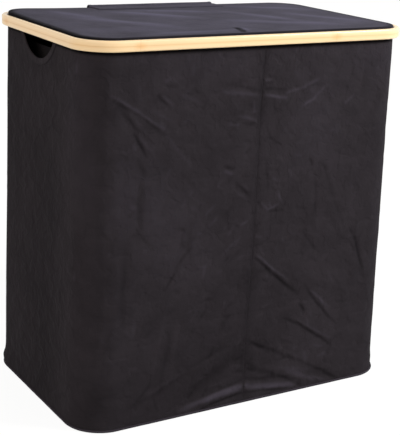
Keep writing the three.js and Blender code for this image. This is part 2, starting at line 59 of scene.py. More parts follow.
bl_info = {
    "name": "Laundry Hamper with Two Bins",
    "version": (1, 0, 0),
    "blender": (4, 5, 0),
    "location": "3D View > Sidebar > Hamper",
    "description": "Dresses a two-bin laundry hamper in bamboo, cloth, webbing and thread",
    "category": "Add Mesh",
}

HOOP_LOW, HOOP_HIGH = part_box("rim_outer_hoop")
INNER_LOW, INNER_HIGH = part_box("rim_inner_hoop")
WALL_LOW, WALL_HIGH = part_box("wall_right")
LID_LOW, LID_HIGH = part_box("lid_cover_top")
LID_BOARD_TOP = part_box("lid_board")[1].z
LID_UNDER_LOW, LID_UNDER_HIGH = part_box("lid_cover_bottom")
WELT_LOW, WELT_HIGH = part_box("base_welt")
BASE_LOW, BASE_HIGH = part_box("base_cloth")


# Sizes and colours that a user would change


def number(name, description, default, **options):
    """A plain number that a user can change."""
    return FloatProperty(name=name, description=description, default=default, **options)


def length(name, description, default):
    """A length in metres."""
    return number(name, description, default, min=0.0, precision=5, subtype="DISTANCE", unit="LENGTH")


def angle(name, description, degrees):
    """An angle, given in degrees."""
    return number(name, description, math.radians(degrees), subtype="ANGLE", unit="ROTATION")


def spot(name, description, default):
    """A place in the room."""
    return FloatVectorProperty(
        name=name, description=description, default=default, precision=5,
        subtype="TRANSLATION", unit="LENGTH",
    )


def tint(name, description, default):
    """A colour in linear light."""
    return FloatVectorProperty(
        name=name, description=description, default=default, size=3, min=0.0, max=1.0,
        subtype="COLOR",
    )


class HamperSizes(bpy.types.PropertyGroup):
    """Real sizes of the hamper's looks, beyond those that the solid model gives"""

    hoop_corner: length("Hoop corner", "Radius of the rim's outer corners", 0.058)
    hoop_thickness: length("Hoop thickness", "Thickness of the outer hoop", 0.009)
    inner_thickness: length("Inner hoop thickness", "Thickness of the inner hoop", 0.005)
    hoop_edge: length("Hoop edge", "Rounding of the bamboo's edges", 0.0026)
    clearance: length("Clearance", "Gap between pieces that touch", 0.0003)
    first_knuckle: length("First knuckle", "Way from the end of the strip to a knuckle", 0.297)
    knuckle_spacing: length("Knuckle spacing", "Way from one bamboo knuckle to the next", 0.342)
    cloth_thickness: length("Cloth thickness", "Thickness of the wall cloth", 0.0012)
    yarn: length("Yarn", "Width of one yarn of the wall and lid cloth", 0.00055)
    coarse_step: length("Wall step", "Spacing of the faces of the ends and the back", 0.0060)
    fine_step: length("Front step", "Spacing of the front's faces", 0.0021)
    wall_hollow: length("Wall hollow", "How far a wall is drawn in half way up", 0.0015)
    wall_waves: length("Wall waves", "Height of the broad waves in the walls", 0.0013)
    wall_crumple: length("Wall crumple", "Height of the small creases in the walls", 0.0007)
    rim_tuck: length("Rim tuck", "How far the cloth is drawn in under the hoop", 0.0014)
    crease_scale: number("Crease scale", "Share of each crease's full height", 1.0, min=0.0, max=3.0,
                         subtype="FACTOR")
    seam_tuck: length("Seam tuck", "How far a seam draws the cloth in", 0.0011)
    seam_reach: length("Seam reach", "How far from a seam the cloth is drawn in", 0.0060)
    pucker: length("Pucker", "Height of the puckers beside a seam", 0.0009)
    foot_bulge: length("Foot bulge", "How far the cloth stands out above the foot", 0.0011)
    foot_flare: length("Foot flare", "How far the cloth turns out at the foot", 0.0016)
    grip_radius: length("Finger hole radius", "Radius of the arc of a finger hole", 0.066)
    grip_centre: length("Finger hole centre", "Height of the arc's centre", 0.6115)
    grip_back: length("Finger hole place", "How far the hole lies behind the middle", 0.009)
    binding_width: length("Binding width", "Width of the tape round a finger hole", 0.009)
    binding_thickness: length("Binding thickness", "Thickness of that tape", 0.0006)
    stitch: length("Stitch", "Length of one stitch", 0.0030)
    stitch_gap: length("Stitch gap", "Gap between two stitches", 0.0011)
    thread: length("Thread", "Thickness of the sewing thread", 0.0005)
    hinge_width: length("Hinge width", "Width of the cloth hinge", 0.240)
    hinge_thickness: length("Hinge thickness", "Thickness of the cloth hinge", 0.0009)
    lid_cover: length("Lid cover", "Thickness of the cloth on the lid", 0.0008)
    lid_round: length("Lid edge", "Rounding of the lid's upper edge", 0.0016)
    lid_waves: length("Lid waves", "Height of the soft folds in the lid's cloth", 0.0006)
    thin_cloth: length("Thin cloth", "Thickness of the divider's and the bags' cloth", 0.0008)
    bag_corner: length("Bag corner", "Radius of the upright corners of a liner bag", 0.024)
    bag_slack: length("Bag slack", "How far the slack cloth of a bag wanders", 0.0028)
    webbing_width: length("Webbing width", "Width of a bag's webbing loop", 0.025)
    rod_radius: length("Rod radius", "Radius of the corner rods", 0.004)
    sleeve_thickness: length("Sleeve thickness", "Thickness of a rod's sleeve", 0.001)
    divider_rod_radius: length("Divider rod radius", "Radius of the rod in the hem", 0.003)
    screw_head: length("Screw head", "Radius of a screw head", 0.0034)
    screw_shank: length("Screw shank", "Radius of a screw's shank", 0.0015)
    screw_length: length("Screw length", "Length of a rim screw", 0.012)
    seed: IntProperty(name="Seed", description="Draw of the hidden sides' creases", default=11)


class HamperColours(bpy.types.PropertyGroup):
    """Colours of the hamper's finishes, in linear light"""

    bamboo: tint("Bamboo", "Light body of the bamboo", (0.93, 0.70, 0.415))
    bamboo_grain: tint("Bamboo grain", "Darker fibres of the bamboo", (0.76, 0.47, 0.20))
    knuckle: tint("Knuckle", "Bamboo on both sides of a knuckle", (0.80, 0.42, 0.15))
    knuckle_line: tint("Knuckle line", "Thin line in the middle of a knuckle", (0.46, 0.22, 0.08))
    wall_cloth: tint("Wall cloth", "Charcoal cloth of the walls", (0.0232, 0.0197, 0.0232))
    # The lid's cloth is the walls' cloth painted lighter, as it is lit from above: a lit copy, painted
    # light, also used on the hinge.
    lid_cloth: tint("Lid cloth", "Cloth of the lid and its hinge", (0.060, 0.056, 0.0755))
    bag_cloth: tint("Bag cloth", "Thin cloth of the liner bags", (0.022, 0.020, 0.023))
    webbing: tint("Webbing", "Webbing of the bag loops", (0.020, 0.017, 0.020))
    thread: tint("Thread", "Sewing thread", (0.016, 0.0135, 0.016))
    greyboard: tint("Greyboard", "Boards in the lid and the base", (0.262, 0.196, 0.120))
    steel: tint("Steel", "Zinc on the screws", (0.62, 0.61, 0.58))
    floor: tint("Floor", "Pale floor", (0.86, 0.86, 0.86))
    fill: tint("Fill", "Warm light from the left", (1.0, 0.88, 0.74))


class StageSizes(bpy.types.PropertyGroup):
    """Place of the camera and strength of the lights"""

    camera_place: spot("Camera place", "Where the camera stands", (-0.97386, -1.61294, 0.83173))
    azimuth: angle("Azimuth", "Turn of the camera about the upright", -31.3915)
    elevation: angle("Elevation", "Height of the camera's line above the level", 16.7584)
    roll: angle("Roll", "Turn of the camera about its own line", 2.368)
    lens: number("Lens", "Focal length on a sensor 36 mm long, in millimetres", 96.55, unit="CAMERA")
    floor_size: length("Floor size", "Length of the floor's sides", 16.0)
    key_place: spot("Key place", "Where the lamp at the front right stands", (1.10, -1.10, 1.42))
    key_size: length("Key size", "Length of the sides of the lamp at the front right", 0.45)
    key_light: number("Key light", "Power of the lamp at the front right, in watts", 25.5, unit="POWER")
    key_aim: spot("Key aim", "Where that lamp points", (0.0, 0.0, 0.35))
    fill_place: spot("Fill place", "Where the light from the left comes from", (-1.6, -0.7, 1.0))
    fill_spread: angle("Fill spread", "Width of the light from the left", 40)
    fill_light: number("Fill light", "Strength of the light from the left", 1.0, subtype="FACTOR")
    sky_light: number("Sky light", "Strength of the even light all round", 0.55, subtype="FACTOR")
    floor_glow: number("Floor glow", "Brightness of the floor as the camera sees it", 1.09, subtype="FACTOR")


def sizes():
    return bpy.context.scene.hamper_sizes


def colours():
    return bpy.context.scene.hamper_colours


# Node trees


class Field:
    """A number in a node tree, whose sums and products are nodes of the same tree."""

    def __init__(self, tree, socket):
        self.tree, self.socket = tree, socket

    def maths(self, operation, *others):
        return maths(self.tree, operation, self, *others)

    def clamped(self):
        return maths(self.tree, "ADD", self, 0.0, clamped=True)

    def __add__(self, other):
        return self.maths("ADD", other)

    def __sub__(self, other):
        return self.maths("SUBTRACT", other)

    def __rsub__(self, other):
        return maths(self.tree, "SUBTRACT", other, self)

    def __mul__(self, other):
        return self.maths("MULTIPLY", other)

    def __truediv__(self, other):
        return self.maths("DIVIDE", other)

    __radd__, __rmul__ = __add__, __mul__


def fed(tree, node, inputs):
    """Gives a node's sockets their values or links."""
    for key, value in inputs.items():
        if isinstance(value, Field):
            value = value.socket
        if isinstance(value, bpy.types.NodeSocket):
            tree.links.new(value, node.inputs[key])
        else:
            node.inputs[key].default_value = value
    return node


def place(tree, kind, inputs=None, **settings):
    """Adds a node, sets its options, and gives its sockets their values or links."""
    node = tree.nodes.new(kind)
    for key, value in settings.items():
        setattr(node, key, value)
    return fed(tree, node, inputs or {})


def given_by(tree, kind, inputs=None, **settings):
    """The first output of a node that is added as place() does."""
    return place(tree, kind, inputs, **settings).outputs[0]


def maths(tree, operation, *values, clamped=False):
    """A number worked out from others."""
    inputs = dict(enumerate(values))
    return Field(tree, given_by(tree, "ShaderNodeMath", inputs, operation=operation, use_clamp=clamped))


def within(value, reach):
    """1 where a number is 0, falling to 0 where it comes to a reach."""
    return maths(value.tree, "SUBTRACT", 1.0, value / reach, clamped=True)


def along_axes(tree, u, v, scale_u, scale_v, offset=0.0):
    """A vector of two lengths, each stretched by a scale of its own."""
    return given_by(tree, "ShaderNodeCombineXYZ", {"X": u * scale_u, "Y": v * scale_v, "Z": offset})


def speckle(tree, vector, scale=1.0, detail=3.0, roughness=0.55):
    """Soft noise from 0 to 1."""
    inputs = {"Vector": vector, "Scale": scale, "Detail": detail, "Roughness": roughness}
    return Field(tree, place(tree, "ShaderNodeTexNoise", inputs).outputs["Fac"])


def crumpled(tree, u, v, spacing):
    """Small facets that meet in soft creases, as in cloth that was folded away."""
    drift_scale, drift, finer, finer_share = 9.0, 0.05, 2.3, 0.45
    vector = along_axes(tree, u, v, drift_scale, drift_scale)
    shift = place(tree, "ShaderNodeTexNoise", {"Vector": vector, "Detail": 2.0}).outputs["Color"]
    shift = given_by(tree, "ShaderNodeVectorMath", {0: shift, "Scale": drift}, operation="SCALE")
    vector = given_by(tree, "ShaderNodeVectorMath", {0: along_axes(tree, u, v, 1.0, 1.0), 1: shift})
    broad, fine = (
        Field(tree, place(tree, "ShaderNodeTexVoronoi", {"Vector": vector, "Scale": scale},
                          voronoi_dimensions="2D").outputs["Distance"])
        for scale in (1 / spacing, finer / spacing))
    return broad + finer_share * fine


def blended(tree, share, first, second):
    """A colour between two others."""
    inputs = {"Factor": share, 6: first, 7: second}
    return place(tree, "ShaderNodeMix", inputs, data_type="RGBA").outputs[2]


def shaded(colour, share=1.0):
    """A colour made lighter or darker, with its opacity."""
    return tuple(min(channel * share, 1.0) for channel in colour) + (1.0,)


def two_tone(tree, share, colour, darker, lighter):
    """A colour that wanders between a darker and a lighter shade of itself."""
    return blended(tree, share, shaded(colour, darker), shaded(colour, lighter))


def emptied(owner):
    """The node tree of a material or a world, without nodes."""
    owner.use_nodes = True
    owner.node_tree.nodes.clear()
    return owner.node_tree


def new_material(name, painter, *looks):
    """A material with a Principled surface, whose sockets a painter then fills."""
    material = bpy.data.materials.new(name)
    tree = emptied(material)
    surface = place(tree, "ShaderNodeBsdfPrincipled")
    place(tree, "ShaderNodeOutputMaterial", {"Surface": surface.outputs[0]})
    painter(tree, surface, *looks)
    return material


def uv_lengths(tree):
    """The two lengths of a piece's UV map."""
    uv = given_by(tree, "ShaderNodeUVMap", uv_map="UVMap")
    split = place(tree, "ShaderNodeSeparateXYZ", {0: uv})
    return Field(tree, split.outputs[0]), Field(tree, split.outputs[1])


def object_place(tree):
    return place(tree, "ShaderNodeTexCoord").outputs["Object"]


def bumped(tree, surface, height, distance, strength=1.0):
    """Adds relief to a surface, on top of what it already has."""
    inputs = {"Height": height, "Distance": distance, "Strength": strength}
    if surface.inputs["Normal"].is_linked:
        inputs["Normal"] = surface.inputs["Normal"].links[0].from_socket
    tree.links.new(given_by(tree, "ShaderNodeBump", inputs), surface.inputs["Normal"])


def paint_bamboo(tree, surface, is_hoop):
    """Lacquered bamboo: long fibres, broad streaks and, on a hoop, knuckles and a glue line."""
    size, colour = sizes(), colours()
    u, v = uv_lengths(tree)
    fibres = speckle(tree, along_axes(tree, u, v, 9.0, 1500.0), detail=2.0)
    streaks = speckle(tree, along_axes(tree, u, v, 3.2, 330.0, 4.0), detail=3.0)
    tone = speckle(tree, along_axes(tree, u, v, 5.0, 25.0, 9.0), detail=1.0)
    share = (0.55 * fibres + 0.75 * streaks - 0.49).clamped()
    body = two_tone(tree, tone, colour.bamboo, 1.04, 0.93)
    colouring = blended(tree, share, body, shaded(colour.bamboo_grain))
    height = 0.5 * fibres + 0.5 * streaks
    if is_hoop:
        wobble = 0.004 * streaks - 0.002
        turns = (u + wobble - size.first_knuckle) / size.knuckle_spacing
        way = ((turns + 0.5).maths("FRACT") - 0.5).maths("ABSOLUTE") * size.knuckle_spacing
        halo = within(way, 12.5 * MM).maths("SMOOTH_MIN", 0.8, 0.4)
        ring = within(way, 0.9 * MM)
        level = Field(tree, place(tree, "ShaderNodeSeparateXYZ", {0: object_place(tree)}).outputs[2])
        from_middle = (level - (HOOP_LOW.z + HOOP_HIGH.z) / 2).maths("ABSOLUTE")
        face, core, glue = (within(from_middle, reach) for reach in (7.0 * MM, 4.5 * MM, 0.5 * MM))
        layers = (
            (core * (0.6 * tone + 0.2), shaded(colour.bamboo_grain)),
            (0.85 * halo * face, shaded(colour.knuckle)),
            (0.22 * ring, shaded(colour.knuckle_line)),
            (0.55 * glue, shaded(colour.bamboo_grain, 0.8)),
        )
        for share, layer_colour in layers:
            colouring = blended(tree, share, colouring, layer_colour)
        height = height - 0.8 * glue + 1.5 * ring
    fed(tree, surface, {"Base Color": colouring, "Roughness": 0.16 * streaks + 0.32,
                        "Coat Weight": 0.35, "Coat Roughness": 0.22})
    bumped(tree, surface, height, 0.06 * MM, 0.7)


def paint_cloth(tree, surface, colour, yarn, crumple):
    """Plain weave: yarns over and under, uneven yarns and small creases, with painted highlights on ridges
    and painted shade in troughs and shadows.
    """
    u, v = uv_lengths(tree)
    turn = math.pi / yarn
    weave = (u * turn).maths("SINE") * (v * turn).maths("SINE")
    warp = speckle(tree, along_axes(tree, u, v, 0.5 / yarn, 14.0), detail=1.0)
    weft = speckle(tree, along_axes(tree, u, v, 14.0, 0.5 / yarn, 5.0), detail=1.0)
    mottle = speckle(tree, object_place(tree), scale=11.0, detail=5.0, roughness=0.62)
    small = crumpled(tree, u, v, 34 * MM)
    # A point attribute of painted light: above 0 a painted highlight, below 0 painted shade or painted
    # shadow.
    painted_light = Field(tree, place(tree, "ShaderNodeAttribute", attribute_name="ridge").outputs["Fac"])
    share = 0.10 * weave + 0.25 * (warp - weft) + 0.75 * (mottle - 0.5) - 0.25 * (small - 0.6) + 0.5
    colouring = two_tone(tree, share.clamped(), colour, 0.60, 1.30)
    # Painted highlight: a lighter, cooler copy of the cloth where the attribute is above 0.
    ridge_share, ridge_cast = 2.6, (0.96, 0.98, 1.10)
    lighter = [ridge_share * channel * part for channel, part in zip(colour, ridge_cast)]
    colouring = blended(tree, (0.9 * painted_light).clamped(), colouring, shaded(lighter))
    # Painted shade and shadow: a near-black copy of the cloth where the attribute is below 0.
    colouring = blended(tree, (-1.0 * painted_light).clamped(), colouring, shaded(colour, 0.08))
    fed(tree, surface, {
        "Base Color": colouring, "Roughness": 0.14 * mottle + 0.78, "Specular IOR Level": 0.04,
        "Sheen Weight": 0.015, "Sheen Roughness": 0.45, "Sheen Tint": shaded(colour, 8.0),
    })
    bumped(tree, surface, small, crumple)
    bumped(tree, surface, 0.35 * (warp + weft) + 0.5 * weave, 0.10 * MM, 0.6)


def paint_webbing(tree, surface, colour):
    """Ribbed webbing: ribs across the strap and two firm edges."""
    u, v = uv_lengths(tree)
    rib_spacing, yarn_spacing = 1.3 * MM, 0.9 * MM
    ribs = (u * (2 * math.pi / rib_spacing)).maths("SINE")
    yarns = (v * (2 * math.pi / yarn_spacing)).maths("SINE")
    fuzz = speckle(tree, object_place(tree), scale=900.0, detail=2.0)
    share = (0.25 * ribs * yarns + fuzz).clamped()
    fed(tree, surface, {"Base Color": two_tone(tree, share, colour, 0.6, 1.5), "Roughness": 0.82,
                        "Sheen Weight": 0.4, "Sheen Roughness": 0.5})
    bumped(tree, surface, ribs + 0.4 * yarns, 0.18 * MM, 0.8)


def paint_thread(tree, surface, colour):
    """Twisted sewing thread."""
    fuzz = speckle(tree, object_place(tree), scale=2600.0, detail=1.0)
    fed(tree, surface, {"Base Color": two_tone(tree, fuzz, colour, 0.7, 1.4), "Roughness": 0.8,
                        "Specular IOR Level": 0.08, "Sheen Weight": 0.04})
    bumped(tree, surface, fuzz, 0.08 * MM, 0.7)


def paint_greyboard(tree, surface, colour):
    """Pressed board: pale and dark fibres in a brown ground."""
    fibres = speckle(tree, object_place(tree), scale=420.0, detail=4.0, roughness=0.7)
    clouds = speckle(tree, object_place(tree), scale=26.0, detail=3.0)
    share = (0.7 * fibres + 0.5 * clouds - 0.1).clamped()
    fed(tree, surface, {"Base Color": two_tone(tree, share, colour, 0.7, 1.3), "Roughness": 0.86})
    bumped(tree, surface, fibres, 0.12 * MM, 0.6)


def paint_steel(tree, surface, colour):
    """Zinc plate, brushed and a little uneven."""
    scratches = speckle(tree, object_place(tree), scale=1500.0, detail=3.0)
    fed(tree, surface, {"Base Color": two_tone(tree, scratches, colour, 0.86, 1.1), "Metallic": 1.0,
                        "Roughness": 0.2 * scratches + 0.24})
    bumped(tree, surface, scratches, 0.02 * MM, 0.5)


def finishes():
    """Every finish of the hamper by its slot, made once."""
    colour, size = colours(), sizes()
    painters = {
        "bamboo": (paint_bamboo, True),
        "bamboo_rod": (paint_bamboo, False),
        "wall_cloth": (paint_cloth, colour.wall_cloth, size.yarn, 2.2 * MM),
        # The lid's cloth and thread: a lighter copy of the wall cloth, painted light of the lid's lit top.
        "lid_cloth": (paint_cloth, colour.lid_cloth, size.yarn, 0.5 * MM),
        "bag_cloth": (paint_cloth, colour.bag_cloth, 0.8 * size.yarn, 1.4 * MM),
        "webbing": (paint_webbing, colour.webbing),
        "thread": (paint_thread, colour.thread),
        "lit_lid_thread": (paint_thread, colour.lid_cloth),
        "greyboard": (paint_greyboard, colour.greyboard),
        "screw_steel": (paint_steel, colour.steel),
    }
    made = {}
    for slot, looks in painters.items():
        name = f"{slot} finish"
        made[slot] = bpy.data.materials.get(name) or new_material(name, *looks)
    return made


# Meshes


def body_volume(points, quads):
    """Signed volume of a closed body of four-sided faces."""
    a, b, c, d = (points[quads[:, i]] for i in range(4))
    return float(np.sum(np.cross(a, b) * c) + np.sum(np.cross(a, c) * d)) / 6


def sweep(name, rings, uv, closed_path, material, crease=35.0, ridge=None, rungs=None):
    """A closed body from rings of equally many points, with UV lengths at every corner.

    uv has one row and one column more than the rings where these close on themselves. An open path
    gets a ladder of faces over each end, whose rungs join one half of the ring to the other.
    """
    rings = np.asarray(rings, float)
    if not np.isfinite(rings).all():
        raise ValueError(f"{name} has a point that is not a number")
    count, around = rings.shape[:2]
    points = rings.reshape(-1, 3)
    spans = count if closed_path else count - 1
    i, j = np.meshgrid(np.arange(spans), np.arange(around), indexing="ij")
    corners = [(i, j), (i + 1, j), (i + 1, j + 1), (i, j + 1)]
    quads = np.stack([(a % count) * around + b % around for a, b in corners], -1).reshape(-1, 4)
    quad_uv = np.stack([uv[a, b] for a, b in corners], -2).reshape(-1, 4, 2)
    if not closed_path:
        k = np.arange(around // 2)
        near, far = (k, around - 1 - k) if rungs is None else rungs
        for ring, turned in ((0, False), (count - 1, True)):
            steps = [near[:-1], near[1:], far[1:], far[:-1]]
            if turned:
                steps = steps[::-1]
            quads = np.vstack([quads, np.stack([ring * around + s for s in steps], -1)])
            quad_uv = np.vstack([quad_uv, np.stack([uv[ring, s] for s in steps], -2)])
    if body_volume(points, quads) < 0:
        quads, quad_uv = quads[:, ::-1], quad_uv[:, ::-1]
    mesh = bpy.data.meshes.new(name)
    kept = quads != np.roll(quads, -1, axis=1)
    faces = quads if kept.all() else np.split(quads[kept], np.cumsum(kept.sum(axis=1))[:-1])
    mesh.from_pydata(points, [], faces)
    layer = mesh.uv_layers.new(name="UVMap")
    layer.data.foreach_set("uv", quad_uv[kept].astype(np.float32).ravel())
    # An attribute of painted light and shade at each point, which the cloth's finish reads.
    if ridge is not None:
        attribute = mesh.attributes.new("ridge", "FLOAT", "POINT")
        attribute.data.foreach_set("value", np.asarray(ridge, np.float32).ravel())
    return finished(name, mesh, material, crease)


def finished(name, mesh, material, crease=35.0):
    """Shades a mesh smooth between its sharp edges, of so many degrees, and puts it in the scene."""
    mesh.validate()
    mesh.polygons.foreach_set("use_smooth", [True] * len(mesh.polygons))
    mesh.set_sharp_from_angle(angle=math.radians(crease))
    mesh.materials.clear()
    mesh.materials.append(material)
    mesh.update()
    made = bpy.data.objects.new(name, mesh)
    bpy.context.scene.collection.objects.link(made)
    return made


def beside(path):
    """The direction at right angles to a flat line at each of its points."""
    tangent = np.gradient(path, axis=0)
    return np.stack([-tangent[:, 1], tangent[:, 0]], -1) / np.linalg.norm(tangent, axis=1)[:, None]


def flat_uv(along, across):
    """UV lengths from the way along the path and the way across it."""
    return np.stack(np.meshgrid(along, across, indexing="ij"), -1)


def ways(points, closed=False):
    """Length from the first point to each, and on to the first again where the row closes."""
    points = np.asarray(points, float)
    if closed:
        points = np.vstack([points, points[:1]])
    steps = np.linalg.norm(np.diff(points, axis=0), axis=1)
    return np.concatenate([[0.0], np.cumsum(steps)])


def attach(made, body, slot, *nodes):
    """Makes a finished piece ride on its body in place of its solids."""
    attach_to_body(made, body)
    if nodes:
        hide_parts(*nodes)
    return made


def swept(name, rings, uv, slot, body, *nodes, closed_path=False, **looks):
    """A swept piece with the finish of a slot, which rides on a body in place of its solids."""
    return attach(sweep(name, rings, uv, closed_path, finishes()[slot], **looks), body, slot, *nodes)


def evaluated_mesh(name, source):
    """The mesh that an object's modifiers give, without the object."""
    bpy.context.view_layer.update()
    graph = bpy.context.evaluated_depsgraph_get()
    mesh = bpy.data.meshes.new_from_object(
        source.evaluated_get(graph), preserve_all_data_layers=True, depsgraph=graph)
    mesh.name = name
    bpy.data.objects.remove(source)
    return mesh


def outward(mesh):
    """Turns a closed mesh the right way round."""
    mesh.calc_loop_triangles()
    total = 0.0
    for triangle in mesh.loop_triangles:
        a, b, c = (mesh.vertices[i].co for i in triangle.vertices)
        total += a.dot(b.cross(c))
    if total < 0:
        mesh.flip_normals()
    return mesh


def cut_away(made, cutter):
    """Cuts a closed body out of a piece and keeps its UV lengths."""
    name, material = made.name, made.data.materials[0]
    change = made.modifiers.new("Cut", "BOOLEAN")
    change.operation, change.solver, change.object = "DIFFERENCE", "EXACT", cutter
    mesh = evaluated_mesh(name, made)
    bpy.data.objects.remove(cutter)
    return finished(name, mesh, material)


# Geometry Nodes


def new_tree(name, inputs):
    """A geometry node tree with named inputs. Returns it with its input and output nodes."""
    tree = bpy.data.node_groups.new(name, "GeometryNodeTree")
    tree.interface.new_socket("Geometry", in_out="INPUT", socket_type="NodeSocketGeometry")
    for label, kind in inputs.items():
        tree.interface.new_socket(label, in_out="INPUT", socket_type=f"NodeSocket{kind}")
    tree.interface.new_socket("Geometry", in_out="OUTPUT", socket_type="NodeSocketGeometry")
    given = {socket.name: Field(tree, socket) for socket in place(tree, "NodeGroupInput").outputs}
    return tree, given, place(tree, "NodeGroupOutput")


def close_tree(tree, end, geometry, material):
    """Every tree ends in real, painted geometry."""
    real = given_by(tree, "GeometryNodeRealizeInstances", {0: geometry})
    painted = given_by(tree, "GeometryNodeSetMaterial", {"Geometry": real, "Material": material})
    tree.links.new(painted, end.inputs[0])


def grown(name, source_mesh, tree, values, crease=35.0):
    """Runs a tree on a mesh and keeps the result as a plain piece."""
    source = bpy.data.objects.new(name, source_mesh)
    bpy.context.scene.collection.objects.link(source)
    change = source.modifiers.new("Grow", "NODES")
    change.node_group = tree
    for item in tree.interface.items_tree:
        if item.item_type == "SOCKET" and item.in_out == "INPUT" and item.name in values:
            change[item.identifier] = values[item.name]
    mesh = outward(evaluated_mesh(name, source))
    if not mesh.polygons:
        raise RuntimeError(f"the tree {tree.name} made nothing for {name}")
    return finished(name, mesh, values["Material"], crease)


def store(tree, geometry, label, value, domain="POINT", kind="FLOAT"):
    """Geometry with one more named attribute."""
    inputs = {"Geometry": geometry, "Name": label, "Value": value}
    return given_by(tree, "GeometryNodeStoreNamedAttribute", inputs, domain=domain, data_type=kind)


def read(tree, label):
    """A named attribute of the geometry."""
    inputs = {"Name": label}
    return Field(tree, given_by(tree, "GeometryNodeInputNamedAttribute", inputs, data_type="FLOAT"))


def lifted(tree, geometry, height):
    """Geometry moved up by a height."""
    lift = given_by(tree, "ShaderNodeCombineXYZ", {"Z": height})
    inputs = {"Geometry": geometry, "Translation": lift}
    return given_by(tree, "GeometryNodeTransform", inputs)


def unwrapped(tree, way, whole):
    """The way at a face's corner, carried past the end on the face that closes the row."""
    here, total = read(tree, way), read(tree, whole)
    on_face = given_by(tree, "GeometryNodeFieldOnDomain", {0: here}, domain="FACE", data_type="FLOAT")
    closes_row = (Field(tree, on_face) - here).maths("GREATER_THAN", 0.3 * total)
    return closes_row * total + here


def bent_strip_tree():
    """A strip of rounded section bent round a rounded rectangle, with lengths for its grain."""
    tree, given, end = new_tree("Bent strip", {
        "Width": "Float", "Depth": "Float", "Corner": "Float", "Strip Thickness": "Float",
        "Strip Height": "Float", "Edge": "Float", "Edge Steps": "Int", "Level": "Float",
        "Step": "Float", "Material": "Material",
    })

    def rounded(width, depth, radius, steps):
        shape = given_by(tree, "GeometryNodeCurvePrimitiveQuadrilateral", {"Width": width, "Height": depth})
        inputs = {"Curve": shape, "Radius": radius, "Count": steps}
        return given_by(tree, "GeometryNodeFilletCurve", inputs, mode="POLY")

    def measured(curve, way, whole):
        curve = store(tree, curve, way, place(tree, "GeometryNodeSplineParameter").outputs["Length"])
        return store(tree, curve, whole, given_by(tree, "GeometryNodeSplineLength"))

    corner_steps = 48
    path = rounded(given["Width"], given["Depth"], given["Corner"], corner_steps)
    inputs = {"Curve": path, "Length": given["Step"]}
    path = given_by(tree, "GeometryNodeResampleCurve", inputs, mode="LENGTH")
    path = given_by(tree, "GeometryNodeSetCurveNormal", {"Curve": path}, mode="Z_UP")
    path = measured(path, "along", "whole")
    section = rounded(given["Strip Thickness"], given["Strip Height"], given["Edge"], given["Edge Steps"])
    section = measured(section, "across", "girth")
    strip = given_by(tree, "GeometryNodeCurveToMesh", {"Curve": path, "Profile Curve": section})
    inputs = {"X": unwrapped(tree, "along", "whole"), "Y": unwrapped(tree, "across", "girth")}
    lengths = given_by(tree, "ShaderNodeCombineXYZ", inputs)
    strip = store(tree, strip, "UVMap", lengths, domain="CORNER", kind="FLOAT2")
    close_tree(tree, end, lifted(tree, strip, given["Level"]), given["Material"])
    return tree


def screw_tree():
    """A countersunk screw with a cross in its head, at every point and turned the way it faces."""
    tree, given, end = new_tree("Countersunk screws", {
        "Head Radius": "Float", "Shank Radius": "Float", "Length": "Float", "Recess": "Float",
        "Material": "Material",
    })

    def turned(low, high, bottom, top):
        inputs = {"Vertices": sides, "Radius Bottom": low, "Radius Top": high, "Depth": top - bottom}
        cone = given_by(tree, "GeometryNodeMeshCone", inputs, fill_type="TRIANGLE_FAN")
        return lifted(tree, cone, bottom)

    sides, head_radius, shank_radius = 24, given["Head Radius"], given["Shank Radius"]
    head_depth, tip = 0.6 * head_radius, 0.75 * given["Length"]
    head = turned(head_radius, shank_radius, 0.0, head_depth)
    shank = turned(shank_radius, shank_radius, 0.9 * head_depth, tip)
    point = turned(shank_radius, 0.0, 0.98 * tip, given["Length"])
    whole = place(tree, "GeometryNodeMeshBoolean", operation="UNION", solver="EXACT")
    for part in (point, shank, head):
        tree.links.new(part, whole.inputs[1])
    inputs = {0: whole.outputs[0]}
    cross = place(tree, "GeometryNodeMeshBoolean", inputs, operation="DIFFERENCE", solver="EXACT")
    arm, slot_width = 1.15 * head_radius, 0.24 * head_radius
    for across, along in ((arm, slot_width), (slot_width, arm)):
        size = given_by(tree, "ShaderNodeCombineXYZ", {"X": across, "Y": along, "Z": given["Recess"]})
        slot = given_by(tree, "GeometryNodeMeshCube", {"Size": size})
        tree.links.new(slot, cross.inputs[1])
    inputs = {"Name": "facing"}
    facing = given_by(tree, "GeometryNodeInputNamedAttribute", inputs, data_type="FLOAT_VECTOR")
    turn = given_by(tree, "FunctionNodeAlignRotationToVector", {"Vector": facing}, axis="Z")
    dots = given_by(tree, "GeometryNodeMeshToPoints", {"Mesh": given["Geometry"]})
    inputs = {"Points": dots, "Instance": cross.outputs[0], "Rotation": turn}
    screws = given_by(tree, "GeometryNodeInstanceOnPoints", inputs)
    close_tree(tree, end, screws, given["Material"])
    return tree


def stitch_tree():
    """Stitches laid end to end along every line."""
    tree, given, end = new_tree("Stitches", {
        "Stitch": "Float", "Gap": "Float", "Thread": "Float", "Material": "Material",
    })
    lines = given_by(tree, "GeometryNodeMeshToCurve", {0: given["Geometry"]})
    inputs = {"Curve": lines, "Length": given["Stitch"] + given["Gap"]}
    lines = given_by(tree, "GeometryNodeResampleCurve", inputs, mode="LENGTH")
    bead = given_by(tree, "GeometryNodeMeshUVSphere", {"Segments": 6, "Rings": 5, "Radius": 0.5})
    inputs = {"X": given["Stitch"], "Y": given["Thread"], "Z": given["Thread"]}
    size = given_by(tree, "ShaderNodeCombineXYZ", inputs)
    way = given_by(tree, "GeometryNodeInputTangent")
    turn = given_by(tree, "FunctionNodeAlignRotationToVector", {"Vector": way}, axis="X")
    inputs = {"Points": lines, "Instance": bead, "Rotation": turn, "Scale": size}
    stitches = given_by(tree, "GeometryNodeInstanceOnPoints", inputs)
    close_tree(tree, end, stitches, given["Material"])
    return tree


def shared_tree(name, maker):
    return bpy.data.node_groups.get(name) or maker()


